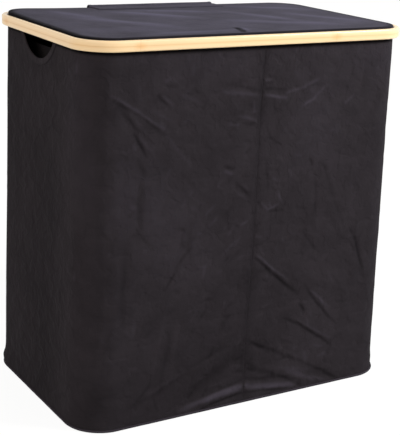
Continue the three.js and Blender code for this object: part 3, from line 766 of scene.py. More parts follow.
def sewn(name, lines, body, finish="thread"):
    """Stitches along lines of points, as one piece of a body."""
    points, edges = [], []
    for line in lines:
        first = len(points)
        points.extend(line)
        edges.extend((first + i, first + i + 1) for i in range(len(line) - 1))
    mesh = bpy.data.meshes.new(name)
    mesh.from_pydata(points, edges, [])
    size = sizes()
    made = grown(name, mesh, shared_tree("Stitches", stitch_tree), {
        "Stitch": size.stitch, "Gap": size.stitch_gap, "Thread": size.thread,
        "Material": finishes()[finish],
    }, crease=80.0)
    return attach(made, body, "wall_cloth")


# Outlines and walls


SIDES = {"left": -1, "right": 1}


class Outline:
    """A rounded rectangle round the middle, by half its width and depth and its corner radius."""

    def __init__(self, half_width, half_depth, corner):
        self.half_width, self.half_depth, self.corner = half_width, half_depth, corner

    def grown(self, by):
        return Outline(self.half_width + by, self.half_depth + by, self.corner + by)

    def scaled(self, share):
        return Outline(self.half_width * share, self.half_depth * share, self.corner * share)

    def points(self, stations, out, z):
        """Points at every station, moved out along its normal."""
        away = self.corner + np.asarray(out)
        x = stations[:, 0] * (self.half_width - self.corner) + stations[:, 2] * away
        y = stations[:, 1] * (self.half_depth - self.corner) + stations[:, 3] * away
        return np.stack([x, y, np.broadcast_to(z, x.shape)], -1)


def slack_at(share):
    """How free a cloth is between two corners, from 0 at either to 1 half way, which is share 0."""
    return math.cos(math.pi * share / 2) ** 2


# Spacing of the stations round the base, the bags and the lid's lower cover
STATION_STEP = 5 * MM


def corner_at(angle):
    """The corner of a square that lies in a direction, as the signs of its two places."""
    return [math.copysign(1, math.cos(angle)), math.copysign(1, math.sin(angle))]


def loop_stations(outline, step):
    """Stations round an outline: place along the sides, normal, and slack between two corners."""
    rows = []
    steps_round = max(int(outline.corner * math.pi / 2 / step), 6)
    for quarter in range(4):
        start = (quarter - 1) * math.pi / 2
        here, after = corner_at(start + math.pi / 4), corner_at(start + 3 * math.pi / 4)
        for i in range(steps_round + 1):
            angle = start + math.pi / 2 * i / steps_round
            rows.append([*here, math.cos(angle), math.sin(angle), 0.0])
        half = outline.half_width if here[1] == after[1] else outline.half_depth
        steps = max(int(2 * (half - outline.corner) / step), 2)
        end = [math.cos(start + math.pi / 2), math.sin(start + math.pi / 2)]
        for i in range(1, steps):
            share = i / steps
            spot = [a + (b - a) * share for a, b in zip(here, after)]
            rows.append([*spot, *end, slack_at(2 * share - 1)])
    return np.array(rows)


def soft_noise(a, b, depth):
    """Smooth noise from -1 to 1 at every pair of numbers."""
    a, b = np.broadcast_arrays(a, b)
    flat = [noise.noise((x, y, depth)) for x, y in zip(a.ravel().tolist(), b.ravel().tolist())]
    return np.array(flat).reshape(a.shape)


def smooth_step(share):
    """Share that eases in from 0 and out to 1."""
    share = np.clip(share, 0, 1)
    return share * share * (3 - 2 * share)


def bell(value, half_width):
    """1 where a value is 0, and less on both sides of it."""
    return np.exp(-(value / half_width) ** 2)


# Creases of the front and of the left end. Each has its two ends, as the way from the front seam and
# the height above the floor, how far it stands out (below 0: a valley) and its half width, all in
# millimetres.
SEEN_CREASES = (
    (-244, 518, -204, 494, 0.8, 2.4), (-207, 496, -162, 466, 0.8, 2.4), (-164, 468, -111, 403, 0.35, 3),
    (-242, 511, -218, 494, -0.7, 2.4), (-205, 490, -162, 456, -0.6, 2.8), (-234, 501, -203, 465, -0.6, 3.4),
    (-209, 461, -189, 427, -1.1, 2.4), (-202, 423, -190, 398, -0.6, 3.2), (-210, 483, -193, 462, 0.3, 2.6),
    (-201, 458, -181, 434, 0.35, 2.6), (-172, 514, -155, 498, -0.8, 2.4), (-165, 513, -147, 499, 0.5, 2.4),
    (-235, 437, -218, 423, -0.35, 2.4), (-129, 511, -98, 497, 0.35, 2.6), (-201, 369, -194, 322, -0.25, 4),
    (-181, 494, -149, 476, 0.3, 2.4), (-65, 514, -44, 507, 0.6, 2.6), (-50, 513, -1, 504, 0.6, 2.6),
    (-55, 524, -1, 510, -0.4, 2.6), (1, 505, 49, 497, 1.1, 2.6), (2, 513, 50, 509, -0.55, 2.4),
    (48, 504, 87, 511, 0.55, 2.4), (85, 512, 113, 522, 0.6, 2.4), (85, 482, 108, 493, 0.8, 2.4),
    (104, 492, 128, 511, 0.5, 2.4), (165, 480, 184, 493, 0.5, 2.4), (-1, 527, 16, 526, 0.6, 2.2),
    (-1, 522, 19, 521, -0.5, 2.2), (-50, 462, -35, 461, 0.6, 2.6), (-35, 474, -8, 465, 0.7, 2.6),
    (-30, 463, -8, 458, -0.4, 2.4), (11, 457, 22, 436, -0.35, 2.2), (20, 438, 42, 423, -0.45, 2.2),
    (-55, 392, -42, 384, 0.8, 2.2), (-56, 399, -41, 392, -0.7, 2.2), (-35, 369, -10, 344, -0.6, 2.4),
    (-27, 368, -14, 357, 0.45, 2.2), (-38, 360, -15, 341, 0.45, 2.2), (-2, 340, 14, 325, -0.6, 2.4),
    (9, 332, 26, 320, 0.6, 2.4), (24, 321, 47, 328, 0.6, 2.4), (26, 319, 56, 317, -0.5, 2.2),
    (17, 402, 22, 352, -0.45, 2.6), (120, 322, 126, 299, -0.6, 2.6), (123, 389, 140, 376, -0.5, 2.4),
    (0, 496, 2, 475, 0.4, 2.2), (-14, 496, -11, 477, 0.5, 2.2), (-26, 301, -13, 307, 0.6, 2.6),
    (-50, 246, -39, 256, -0.4, 2.4), (100, 278, 126, 245, -0.5, 2.2), (195, 272, 207, 250, -0.6, 2.6),
    (207, 258, 226, 200, -0.75, 2.6), (222, 233, 239, 206, 0.4, 2.6), (152, 300, 185, 251, -0.3, 2.6),
    (8, 249, 45, 219, 1, 2.2), (41, 221, 75, 198, 0.7, 2.4), (53, 226, 79, 209, 0.3, 2.2),
    (7, 244, 41, 218, -0.9, 2.2), (33, 221, 95, 173, -1, 3.2), (113, 180, 175, 110, -0.95, 2.6),
    (123, 172, 147, 150, 0.8, 2.2), (143, 153, 163, 137, 0.45, 2.2), (100, 156, 111, 140, -0.6, 2.6),
    (78, 130, 166, 72, -1.05, 2.8), (100, 125, 174, 80, 0.4, 2.6), (154, 202, 168, 179, 0.4, 2.4),
    (160, 196, 193, 156, -0.35, 2.4), (7, 105, 34, 89, -0.65, 3.4), (33, 90, 89, 60, -0.75, 3.6),
    (9, 96, 37, 78, 0.4, 2.6), (85, 62, 179, 10, -0.45, 3.4), (88, 69, 174, 22, 0.3, 3),
    (-135, 246, -115, 271, -0.35, 2.8), (-152, 216, -135, 242, -0.6, 2.6), (-224, 164, -219, 292, -0.4, 5),
    (-246, 345, -249, 215, 0.2, 5), (-203, 316, -176, 283, -0.4, 2.8), (-106, 156, -92, 177, 0.3, 2.6),
    (-116, 11, 0, 28, 1.4, 6), (-73, 20, 0, 28, 0.8, 6.5), (-114, 21, -1, 40, -0.6, 2.8),
    (-78, 5, 1, 17, -0.9, 2.4), (-59, 7, -5, 8, 0.3, 2.4), (6, 27, 96, 13, 1.6, 6.2),
    (5, 39, 83, 29, -0.5, 2.8), (8, 16, 80, 8, -0.9, 2.4), (84, 37, 137, 12, 0.8, 5),
    (77, 28, 111, 7, -0.6, 2.6), (132, 19, 171, 6, 0.7, 3.2), (140, 32, 168, 23, -0.4, 2.6),
    (155, 22, 186, 6, -0.45, 2.6), (6, 58, 22, 50, -0.7, 2.4), (-69, 41, -34, 45, 0.4, 2.4),
    (-24, 67, -4, 64, 0.4, 2.4), (-21, 51, -1, 47, 0.4, 2.2), (-19, 58, 4, 53, -0.4, 2.2),
    (-201, 38, -171, 69, -0.35, 3), (-1, 108, 34, 89, -0.2, 4.5), (84, 64, 186, 4, -0.2, 5),
    (1, 70, 39, 45, -0.5, 4), (35, 45, 112, 12, -0.45, 4), (35, 52, 132, 28, 0.35, 4),
    (-111, 31, -9, 89, -0.45, 9), (-174, 51, -39, 94, 0.35, 3.2), (-208, 33, -58, 98, -0.35, 4.5),
    (-174, 56, -149, 180, 0.3, 4), (-156, 61, -140, 149, -0.3, 4), (-136, 75, -126, 163, 0.25, 4),
    (-200, 298, -197, 388, -0.28, 5), (189, 297, 210, 248, -0.15, 3.5), (215, 239, 231, 171, -0.15, 3.5),
    (116, 373, 122, 320, -0.4, 3), (131, 392, 150, 347, -0.35, 3), (-115, 271, -107, 321, -0.15, 4),
    (-54, 256, -32, 277, 0.4, 2.6), (-43, 243, -22, 263, -0.3, 3), (-87, 325, -68, 340, 0.35, 2.8),
    (149, 340, 185, 268, -0.3, 3), (102, 159, 117, 126, -0.35, 3), (-300, 562, -301, 545, 0.7, 3.5),
    (-299, 252, -297, 238, 0.7, 2.6), (-301, 258, -300, 244, -0.6, 2.6), (-246, 540, -247, 330, 0.18, 4.5),
    (-249, 225, -260, 90, 0.3, 5.5), (-260, 575, -264, 40, -0.28, 11),
)


def small_creases(size):
    """Many small creases of the front, closer together beside the seam and near the foot.

    Lengths are in millimetres, as in the list of seen creases.
    """
    count, widest, lowest, highest = 260, 225, 12, 560
    beside_seam, above_foot = 80, 150
    draw = np.random.RandomState(size.seed + 1)
    rows = []
    while len(rows) < count:
        way, height = draw.uniform(-widest, widest), draw.uniform(lowest, highest)
        chance = math.exp(-abs(way) / beside_seam) + 0.35 * math.exp(-height / above_foot) + 0.12
        if draw.uniform() > chance:
            continue
        lean = draw.normal(-0.75, 0.5) * (1 if way > 0 else 1 - 2 * (draw.uniform() < 0.5))
        reach = draw.uniform(6, 26)
        rise = draw.uniform(0.12, 0.42) * (1 if draw.uniform() < 0.45 else -1)
        rows.append((way, height, way + reach * math.cos(lean), height + reach * math.sin(lean), rise,
                     draw.uniform(2.1, 3.2)))
    return rows


# Where the foot's own relief ends, above the floor
FOOT_TOP = 45 * MM

# The lobe of cloth at the left back of the foot: its way from the front seam, its height, how far it
# stands out, and its half width and half height
FOOT_LOBE = (-0.608, 0.012, 0.0050, 0.055, 0.0075)


def hidden_creases(size, line_length):
    """Creases of the sides that face away, drawn from a fixed seed. Each has a valley above it."""
    count, seam_gap, valley_place, valley_share = 22, 4 * MM, 1.9, -0.5
    starts = ((1, 0.30), (-1, 0.62))
    draw = np.random.RandomState(size.seed)
    rows = []
    for side, first in starts:
        for _ in range(count):
            way, z = draw.uniform(first, line_length - seam_gap), draw.uniform(0.03, 0.53)
            angle, reach = draw.uniform(-1.1, 1.1), draw.uniform(0.03, 0.10)
            rise, half_width = draw.uniform(0.3, 0.9), draw.uniform(3.5, 5.5)
            to_way, climb = way + reach * math.cos(angle), reach * math.sin(angle)
            for higher, part in ((0.0, 1.0), (valley_place * half_width * MM, valley_share)):
                from_z = z + higher
                rows.append((
                    side * way / MM, from_z / MM, side * to_way / MM, (from_z + climb) / MM,
                    rise * part, half_width,
                ))
    return rows


def ridge_at(way, height, creases, fade=0.6):
    """Height of the ridges and valleys of creases at places on a cloth."""
    bow, slow, fine, past_end = 0.03, 0.005, 0.002, 0.1
    way, height = np.broadcast_arrays(way, height)
    total = np.zeros(way.shape)
    for from_way, from_height, to_way, to_height, rise, half_width in creases:
        start, end = np.array([from_way, from_height]) * MM, np.array([to_way, to_height]) * MM
        span, reach = end - start, float(np.hypot(*(end - start)))
        margin = 3 * half_width * MM + 0.2 * reach
        low, high = np.minimum(start, end) - margin, np.maximum(start, end) + margin
        near = (way > low[0]) & (way < high[0]) & (height > low[1]) & (height < high[1])
        a, b = way[near] - start[0], height[near] - start[1]
        along = (a * span[0] + b * span[1]) / reach ** 2
        beside = (a * span[1] - b * span[0]) / reach
        wander = slow * np.sin(9 * along + from_way) + fine * np.sin(23 * along + from_height)
        bend = reach * (bow * math.cos(from_way) * np.sin(np.pi * along) + wander)
        along = np.clip((along + past_end) / (1 + 2 * past_end), 0, 1)
        envelope = (4 * along * (1 - along)) ** fade
        total[near] += rise * MM * envelope * bell(beside - bend, half_width * MM)
    return total


# The front seam as it is sewn: height above the floor and way to the right of the middle, in millimetres
SEAM = ((0, -2.2), (90, -1.5), (130, -0.2), (180, 2.2), (240, 4.6), (310, 6.4), (400, 7.0), (470, 7.8),
        (530, 9.6), (575, 11.4), (600, 12.0))


def seam_place(height):
    """Place of the front seam at heights above the floor."""
    heights, places = zip(*SEAM)
    return np.interp(np.asarray(height) / MM, heights, places) * MM


class Walls:
    """The line and the faces of the cloth walls."""

    corner_steps = 18
    closer_by_seam = 60 * MM
    seam_lean_reach = 90 * MM

    def __init__(self):
        size = self.size = sizes()
        hoop = Outline(HOOP_HIGH.x, HOOP_HIGH.y, size.hoop_corner)
        self.hoop = hoop
        self.top = hoop.grown(-size.hoop_thickness - size.clearance)
        spread = WALL_HIGH.x - self.top.half_width
        self.foot = self.top.grown(spread)
        self.inner_hoop = self.top.grown(-size.cloth_thickness - size.clearance)
        self.lid = Outline(LID_HIGH.x, LID_HIGH.y, size.hoop_corner - (HOOP_HIGH.x - LID_HIGH.x))
        self.straight = self.top.half_width - self.top.corner, self.top.half_depth - self.top.corner
        self.arc = self.top.corner * math.pi / 2
        self.line = self.half_line()
        self.way = ways(self.top.points(self.line, 0, 0))
        self.creases = list(SEEN_CREASES) + small_creases(size) + hidden_creases(size, self.way[-1])

    def half_line(self):
        """Stations from the front seam round the right end to the back seam, closest on the front."""
        size = self.size
        front = np.linspace(0, 1, int(self.straight[0] / size.fine_step) + 1)
        back = [0.0]
        while back[-1] < self.straight[0]:
            share = min(back[-1] / self.closer_by_seam, 1)
            back.append(back[-1] + size.fine_step * (1 - share) + size.coarse_step * share)
        back = [x / back[-1] for x in back]
        turns = np.linspace(0, math.pi / 2, self.corner_steps + 1)[1:-1]
        steps = int(2 * self.straight[1] / size.coarse_step)
        sides = [2 * i / steps - 1 for i in range(steps + 1)]
        rows = [[x, -1, 0, -1, slack_at(x)] for x in front]
        rows += [[1, -1, math.sin(a), -math.cos(a), 0] for a in turns]
        rows += [[1, y, 1, 0, slack_at(y)] for y in sides]
        rows += [[1, 1, math.cos(a), math.sin(a), 0] for a in turns]
        rows += [[x, 1, 0, 1, slack_at(x)] for x in back[::-1]]
        return np.array(rows, float)

    def end_way(self, y):
        """The way from the front seam to a place on an end wall."""
        return self.straight[0] + self.arc + self.straight[1] + y

    def relief(self, way, height):
        """How far the cloth stands out from the plain wall, at a way that is below 0 on the left."""
        return sum(self.relief_parts(way, height).values())

    def ridge(self, way, height):
        """Painted light on the walls: painted highlights on the crests of creases and waves, painted shade
        in their troughs and along the seams, on the ends and lower down, and a painted shadow under the
        hoop.
        """
        half_height, shadow_reach, darkest, lightest = 0.30, 5.5 * MM, -1, 0.75
        parts = self.relief_parts(way, height)
        # Creases, waves and the seam's tuck become painted highlights where they stand out and painted shade
        # where they sink, the shade a little stronger.
        creases = np.where(parts["creases"] < 0, 1.25, 1.0) * parts["creases"]
        painted_light = creases / (2.0 * MM) + parts["waves"] / (7 * MM) + parts["seam"] / (3.0 * MM)
        # The end walls get painted shade, and the walls get painted shade towards the floor.
        in_end = smooth_step((np.abs(way) - self.straight[0] - self.arc + 0.02) / 0.12)
        shade_below = 0.10 * (height / half_height - 1) - 0.03
        under = np.maximum((HOOP_LOW.z - height) / shadow_reach, 0)
        shadow = 1.3 * np.exp(-under ** 4)
        return np.clip(painted_light - 0.25 * in_end + shade_below - shadow, darkest, lightest)

    def relief_parts(self, way, height):
        """Each kind of relief by its name."""
        size, from_front = self.size, np.abs(way)
        seam = np.minimum(from_front, self.way[-1] - from_front)
        under = HOOP_LOW.z - height

        # Shares from 0 to 1 of where a wall is free, and of where it is held
        from_hole = np.hypot(from_front - self.end_way(size.grip_back), height - size.grip_centre)
        off_hole = smooth_step((from_hole - size.grip_radius - 14 * MM) / (30 * MM))
        calm = smooth_step(under / (35 * MM)) * off_hole
        off_foot = smooth_step(height / (50 * MM))
        on_foot = smooth_step((FOOT_TOP - height) / (20 * MM))
        on_front = smooth_step((self.straight[0] + self.arc - from_front) / (50 * MM))
        off_seam = 1 - np.exp(-seam / (6 * MM))
        joined = np.maximum(smooth_step((seam - 1 * MM) / (4 * MM)), 0.6 * on_foot)
        straight = np.interp(from_front, self.way, self.line[:, 4]) ** 0.25

        # Broad waves, and small creases in patches
        waves = soft_noise(way / 0.12, height / 0.17, 1.7)
        patches = smooth_step(0.5 + 0.9 * soft_noise(way / 0.09, height / 0.09, 8.3))
        small = 1 - np.abs(soft_noise(way / 0.030, height / 0.037, 4.1)) * 2
        small += 0.8 * soft_noise(way / 0.012, height / 0.014, 6.6)

        # What the seams draw in, tightest near the rim
        pucker = np.exp(-seam / (16 * MM)) * (1 - np.exp(-seam / (2 * MM)))
        pucker = pucker * soft_noise(seam / 0.05 + np.sign(way) * 3, height / 0.010, 2.9)
        tightness = 0.75 + 0.6 * soft_noise(0.0, height / 0.035, 12.1)
        firm = 0.9 + 0.3 * smooth_step((height - 0.40) / 0.10)
        tuck = tightness * firm * np.exp(-seam / size.seam_reach)

        # What stands out at the foot, and what the hoop draws in
        bulge = size.foot_bulge * bell(height - 20 * MM, 13 * MM) * off_seam
        flare = size.foot_flare * np.exp(-np.maximum(height - WALL_LOW.z, 0) / (7 * MM))
        lobe_way, lobe_height, lobe_out, lobe_width, lobe_rise = FOOT_LOBE
        lobe = lobe_out * bell(way - lobe_way, lobe_width) * bell(height - lobe_height, lobe_rise)
        tucked = bell(under, 6 * MM) * smooth_step(0.5 + under / (2 * MM))
        return {
            "waves": size.wall_waves * waves * calm * off_foot,
            "crumple": size.wall_crumple * small * patches * calm * (0.5 + 0.5 * on_front),
            "creases": ridge_at(way, height, self.creases) * size.crease_scale * calm * joined,
            "seam": -size.seam_tuck * tuck * smooth_step(under / (10 * MM)) * (1 - 0.5 * on_foot),
            "puckers": size.pucker * pucker * calm,
            "foot": bulge + flare + lobe,
            "rim": -size.rim_tuck * tucked * straight * off_hole,
        }

    def points(self, side, way, height, out):
        """Points at a distance out from the face of a wall."""
        way, height, out = np.broadcast_arrays(
            np.asarray(way, float), np.asarray(height, float), np.asarray(out, float))
        along_x, along_y, normal_x, normal_y, slack = (
            np.interp(way, self.way, column) for column in self.line.T)
        size = np.hypot(normal_x, normal_y)
        share = np.clip((HOOP_LOW.z - height) / (HOOP_LOW.z - WALL_LOW.z), 0, 1)
        corner = self.top.corner + (self.foot.corner - self.top.corner) * share
        away = corner + out + self.relief(side * way, height)
        away = away - self.size.wall_hollow * np.sin(np.pi * share) * slack
        x = along_x * self.straight[0] + normal_x / size * away
        y = along_y * self.straight[1] + normal_y / size * away
        lean = seam_place(height) * smooth_step(1 - way / self.seam_lean_reach)
        return np.stack([side * x + lean, y, height], -1)


class BuildRim(bpy.types.Operator):
    """Bend both bamboo hoops of the rim"""

    bl_idname = "hamper.build_rim"
    bl_label = "Rim hoops"

    def execute(self, context):
        size, walls, step, edge_steps = sizes(), Walls(), 4 * MM, 5
        hole_wider, hole_sunk = 0.35 * MM, 0.5 * MM
        tree = shared_tree("Bent strip", bent_strip_tree)
        hoops = (
            ("outer", walls.hoop, size.hoop_thickness, HOOP_LOW, HOOP_HIGH, size.hoop_edge),
            ("inner", walls.inner_hoop, size.inner_thickness, INNER_LOW, INNER_HIGH, size.hoop_edge / 2),
        )
        for part, outline, thickness, low, high, edge in hoops:
            name, middle = f"bamboo_{part}_hoop", outline.grown(-thickness / 2)
            made = grown(name, bpy.data.meshes.new(name), tree, {
                "Width": 2 * middle.half_width, "Depth": 2 * middle.half_depth,
                "Corner": middle.corner, "Strip Thickness": thickness,
                "Strip Height": high.z - low.z, "Edge": edge, "Edge Steps": edge_steps,
                "Level": (low.z + high.z) / 2, "Step": step, "Material": finishes()["bamboo"],
            }, crease=50.0)
            if part == "inner":
                made = cut_away(made, screw_bodies("screw_hole", hole_wider, hole_sunk))
            attach(made, "hamper_body", "bamboo", f"rim_{part}_hoop")
        return {"FINISHED"}


SCREWS = [f"rim_screw_{number:02d}" for number in range(1, 13)]


def screw_spots():
    """Where each screw's head lies and which way its point faces."""
    spots = []
    for screw in SCREWS:
        low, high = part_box(screw)
        middle, span = (low + high) / 2, high - low
        axis = 0 if span.x > span.y else 1
        facing = Vector((0, 0, 0))
        facing[axis] = math.copysign(1, middle[axis])
        head = middle.copy()
        head[axis] = low[axis] if facing[axis] > 0 else high[axis]
        spots.append((head, facing))
    return spots


def screw_bodies(name, wider=0.0, sunk=0.0):
    """All twelve screws or, made wider and sunk further, the holes that hold them."""
    size, spots, cross_depth = sizes(), screw_spots(), 2.4 * MM
    mesh = bpy.data.meshes.new(name)
    mesh.from_pydata([head - facing * sunk for head, facing in spots], [], [])
    attribute = mesh.attributes.new("facing", "FLOAT_VECTOR", "POINT")
    attribute.data.foreach_set("vector", [x for _, facing in spots for x in facing])
    return grown(name, mesh, shared_tree("Countersunk screws", screw_tree), {
        "Head Radius": size.screw_head + wider, "Shank Radius": size.screw_shank + wider,
        "Length": size.screw_length + wider, "Recess": 0.0 if sunk else cross_depth,
        "Material": finishes()["screw_steel"],
    })


class BuildScrews(bpy.types.Operator):
    """Drive the twelve screws of the rim"""

    bl_idname = "hamper.build_screws"
    bl_label = "Rim screws"

    def execute(self, context):
        attach(screw_bodies("rim_screws"), "hamper_body", "screw_steel", *SCREWS)
        return {"FINISHED"}


def grip_prism(side):
    """The space of a finger hole, as a body across an end wall."""
    size, points, inwards, outwards = sizes(), 49, 25 * MM, 10 * MM
    top = HOOP_LOW.z + 2 * MM
    half = math.acos((size.grip_centre - top) / size.grip_radius)
    angles = np.linspace(-half, half, points)
    outline = [(size.grip_back + size.grip_radius * math.sin(a),
                size.grip_centre - size.grip_radius * math.cos(a)) for a in angles]
    outline.append((size.grip_back, top))
    ends = [side * x for x in (WALL_HIGH.x - inwards, WALL_HIGH.x + outwards)]
    rings = [[(x, y, z) for y, z in outline] for x in ends]
    uv = np.zeros((2, len(outline) + 1, 2))
    return sweep("grip_space", rings, uv, False, finishes()["wall_cloth"])


class BuildWalls(bpy.types.Operator):
    """Sew the two halves of the cloth walls, with their finger holes"""

    bl_idname = "hamper.build_walls"
    bl_label = "Cloth walls"

    def execute(self, context):
        walls, size, hoop_rows, foot_rows = Walls(), sizes(), 4, 21
        behind = np.linspace(WALL_HIGH.z, HOOP_LOW.z, hoop_rows)
        middle = np.arange(HOOP_LOW.z - size.fine_step, FOOT_TOP, -size.fine_step)
        foot = np.linspace(FOOT_TOP - 2 * MM, WALL_LOW.z, foot_rows)
        heights = np.concatenate([behind, middle, foot])
        inside = np.concatenate([heights[-1:2:-2], heights[:1]])
        facing = np.abs(heights[:, None] - inside).argmin(axis=1)
        rungs = np.arange(len(heights)), len(heights) + facing
        for name, side in SIDES.items():
            way = walls.way[:, None]
            outer = walls.points(side, way, heights[None, :], 0.0)
            inner = walls.points(side, way, inside[None, :], -size.cloth_thickness)
            rings = np.concatenate([outer, inner], axis=1)
            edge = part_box(f"wall_{name}")
            gap = min(abs(edge[0].x), abs(edge[1].x)) - size.clearance
            rings[[0, -1], :, 0] = side * gap
            rings[0, :, 0] += seam_place(rings[0, :, 2])
            uv = flat_uv(walls.way, np.concatenate([heights, inside, heights[:1]]))
            # Painted light and shade of both faces at every point.
            ridge = [walls.ridge(side * way, levels[None, :]) for levels in (heights, inside)]
            ridge = np.concatenate(ridge, axis=1)
            made = sweep(f"wall_cloth_{name}", rings, uv, False, finishes()["wall_cloth"],
                         ridge=ridge, rungs=rungs)
            attach(cut_away(made, grip_prism(side)), "hamper_body", "wall_cloth", f"wall_{name}")
        return {"FINISHED"}


def grip_line(walls, side, away, out):
    """A line round a finger hole, at a distance from its edge and from the wall's face."""
    size, points = walls.size, 73
    radius = size.grip_radius + away
    first = math.asin((size.grip_centre - HOOP_LOW.z + size.clearance) / radius)
    angles = math.pi + first + (math.pi - 2 * first) * np.linspace(0, 1, points)
    y = size.grip_back + radius * np.cos(angles)
    z = size.grip_centre + radius * np.sin(angles)
    return walls.points(side, walls.end_way(y), z, out)


class BuildBindings(bpy.types.Operator):
    """Bind the edge of each finger hole with folded tape"""

    bl_idname = "hamper.build_bindings"
    bl_label = "Finger hole bindings"

    def execute(self, context):
        walls, size = Walls(), sizes()
        gap, tape, width, edge = size.clearance, size.binding_thickness, size.binding_width, 0.2 * MM
        inside, lap = -size.cloth_thickness - gap, 0.4 * MM - gap
        fold_middle, fold = -size.cloth_thickness / 2, size.cloth_thickness / 2 + gap + tape
        turns = np.linspace(math.pi / 2, 3 * math.pi / 2, 9)
        section = [(width, gap + edge), (width - edge, gap + tape)]
        section += [(0.5 * fold + fold * math.cos(a), fold_middle + fold * math.sin(a)) for a in turns]
        section += [(width - edge, inside - tape), (width, inside), (lap, inside), (lap, gap), (width, gap)]
        for name, side in SIDES.items():
            lines = [grip_line(walls, side, away, out) for away, out in section]
            rings = np.stack(lines, axis=1)
            uv = flat_uv(ways(lines[2]), ways(section, closed=True))
            swept(f"grip_tape_{name}", rings, uv, "wall_cloth", "hamper_body", f"grip_binding_{name}")
        return {"FINISHED"}


class BuildDivider(bpy.types.Operator):
    """Sew the divider into both seams, with a rod in its top hem"""

    bl_idname = "hamper.build_divider"
    bl_label = "Divider"

    def execute(self, context):
        walls = Walls()
        low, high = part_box("divider_rod")
        centre = (low.z + high.z) / 2
        self.sew_cloth(walls, centre)
        self.sew_edges(walls)
        levels = [(y, walls.size.divider_rod_radius) for y in (low.y, high.y)]
        rod = column("divider_rod_bamboo", levels, lambda y: Vector((0, y, centre)), "bamboo_rod", axis=1)
        attach(rod, "hamper_body", "bamboo", "divider_rod")
        return {"FINISHED"}

    @staticmethod
    def sew_cloth(walls, centre):
        """The cloth from the base up and round the rod, sewn down below it."""
        size, step, points_along = walls.size, 8 * MM, 61
        mouth, hem_start, hem_depth, hem_out = 0.35, 1.2 * MM, 9 * MM, 1.05 * MM
        sway, most_sway, held_over, end_gap = 1.6 * MM, 2 * MM, 50 * MM, 3.4 * MM
        cloth = size.thin_cloth
        around = size.divider_rod_radius + size.clearance + cloth / 2
        below = centre - around
        turns = np.linspace(mouth - math.pi / 2, 3 * math.pi / 2 - mouth, 25)
        path = [(0.0, z) for z in np.arange(WALL_LOW.z, below, step)] + [(0.0, below - 0.3 * MM)]
        path += [(around * math.cos(a) + 0.1 * MM, centre + around * math.sin(a)) for a in turns]
        path += [(-hem_out, below - hem_start), (-hem_out, below - hem_depth)]
        path = np.array(path)
        normal = beside(path) * cloth / 2
        section = np.concatenate([path + normal, (path - normal)[::-1]])
        reach = np.linspace(-1, 1, points_along)
        rings = []
        for share in reach:
            wave = sway * slack_at(share)
            row = []
            for x, z in section:
                height_share = (z - WALL_LOW.z) / (HOOP_LOW.z - WALL_LOW.z)
                face = walls.foot.half_depth + (walls.top.half_depth - walls.foot.half_depth) * height_share
                drift = wave * noise.noise((share * 2.3, z / 0.16, 3.3)) * min((centre - z) / held_over, 1)
                row.append((x + max(drift, -most_sway) * (z < below), share * (face - end_gap), z))
            rings.append(row)
        uv = flat_uv((reach + 1) * WALL_HIGH.y, ways(section, closed=True))
        swept("divider_cloth", rings, uv, "wall_cloth", "hamper_body", "divider_panel", crease=60.0)

    @staticmethod
    def sew_edges(walls):
        """The divider's two edges, each caught between the halves of the walls."""
        sunk, deep, half_width, rows = 0.25 * MM, 2.6 * MM, 0.58 * MM, 90
        levels = np.linspace(WALL_LOW.z, WALL_HIGH.z, rows)
        for name, way in (("front", 0.0), ("back", walls.way[-1])):
            face, back = walls.points(1, way, levels, -sunk), walls.points(1, way, levels, -deep)
            x = Vector((half_width, 0, 0))
            rings = [[Vector(f) - x, Vector(f) + x, Vector(b) + x, Vector(b) - x]
                     for f, b in zip(face, back)]
            uv = flat_uv(levels, np.array([0, 0.9, 2.9, 3.8, 5.8]) * MM)
            swept(f"seam_edge_{name}", rings, uv, "wall_cloth", "hamper_body", "divider_panel")


def column(name, levels, middle_at, finish, axis=2, sides=28, bore=None):
    """A round bar or, with a bore, a sleeve. Each level has its radius, and middle_at gives its middle."""
    angles = np.arange(sides) * 2 * math.pi / sides

    def ring(level, radius):
        middle = middle_at(level)
        a, b = radius * np.cos(angles), radius * np.sin(angles)
        flat = [a, b, np.zeros(sides)] if axis == 2 else [a, np.zeros(sides), b]
        return np.stack(flat, -1) + np.array(middle)

    if bore is None:
        chamfer = 0.4 * MM
        (first, radius), (last, _) = levels
        along = np.array([first, first + chamfer, last - chamfer, last])
        radii = [radius - chamfer, radius, radius, radius - chamfer]
        rings = np.array([ring(level, radius) for level, radius in zip(along, radii)])
        uv = flat_uv(along, np.append(angles, 2 * math.pi) * radius)
        return sweep(name, rings, uv, False, finishes()[finish], crease=40.0)
    outer = [ring(level, radius) for level, radius in levels]
    inner = [ring(level, bore) for level, _ in levels[::-1]]
    rings = np.swapaxes(np.array(outer + inner), 0, 1)
    along = [level for level, _ in levels]
    uv = flat_uv(np.append(angles, 2 * math.pi) * bore, np.array(along + along[::-1] + along[:1]))
    return sweep(name, rings, uv, True, finishes()[finish], crease=50.0)


CORNERS = ("front_left", "back_left", "front_right", "back_right")


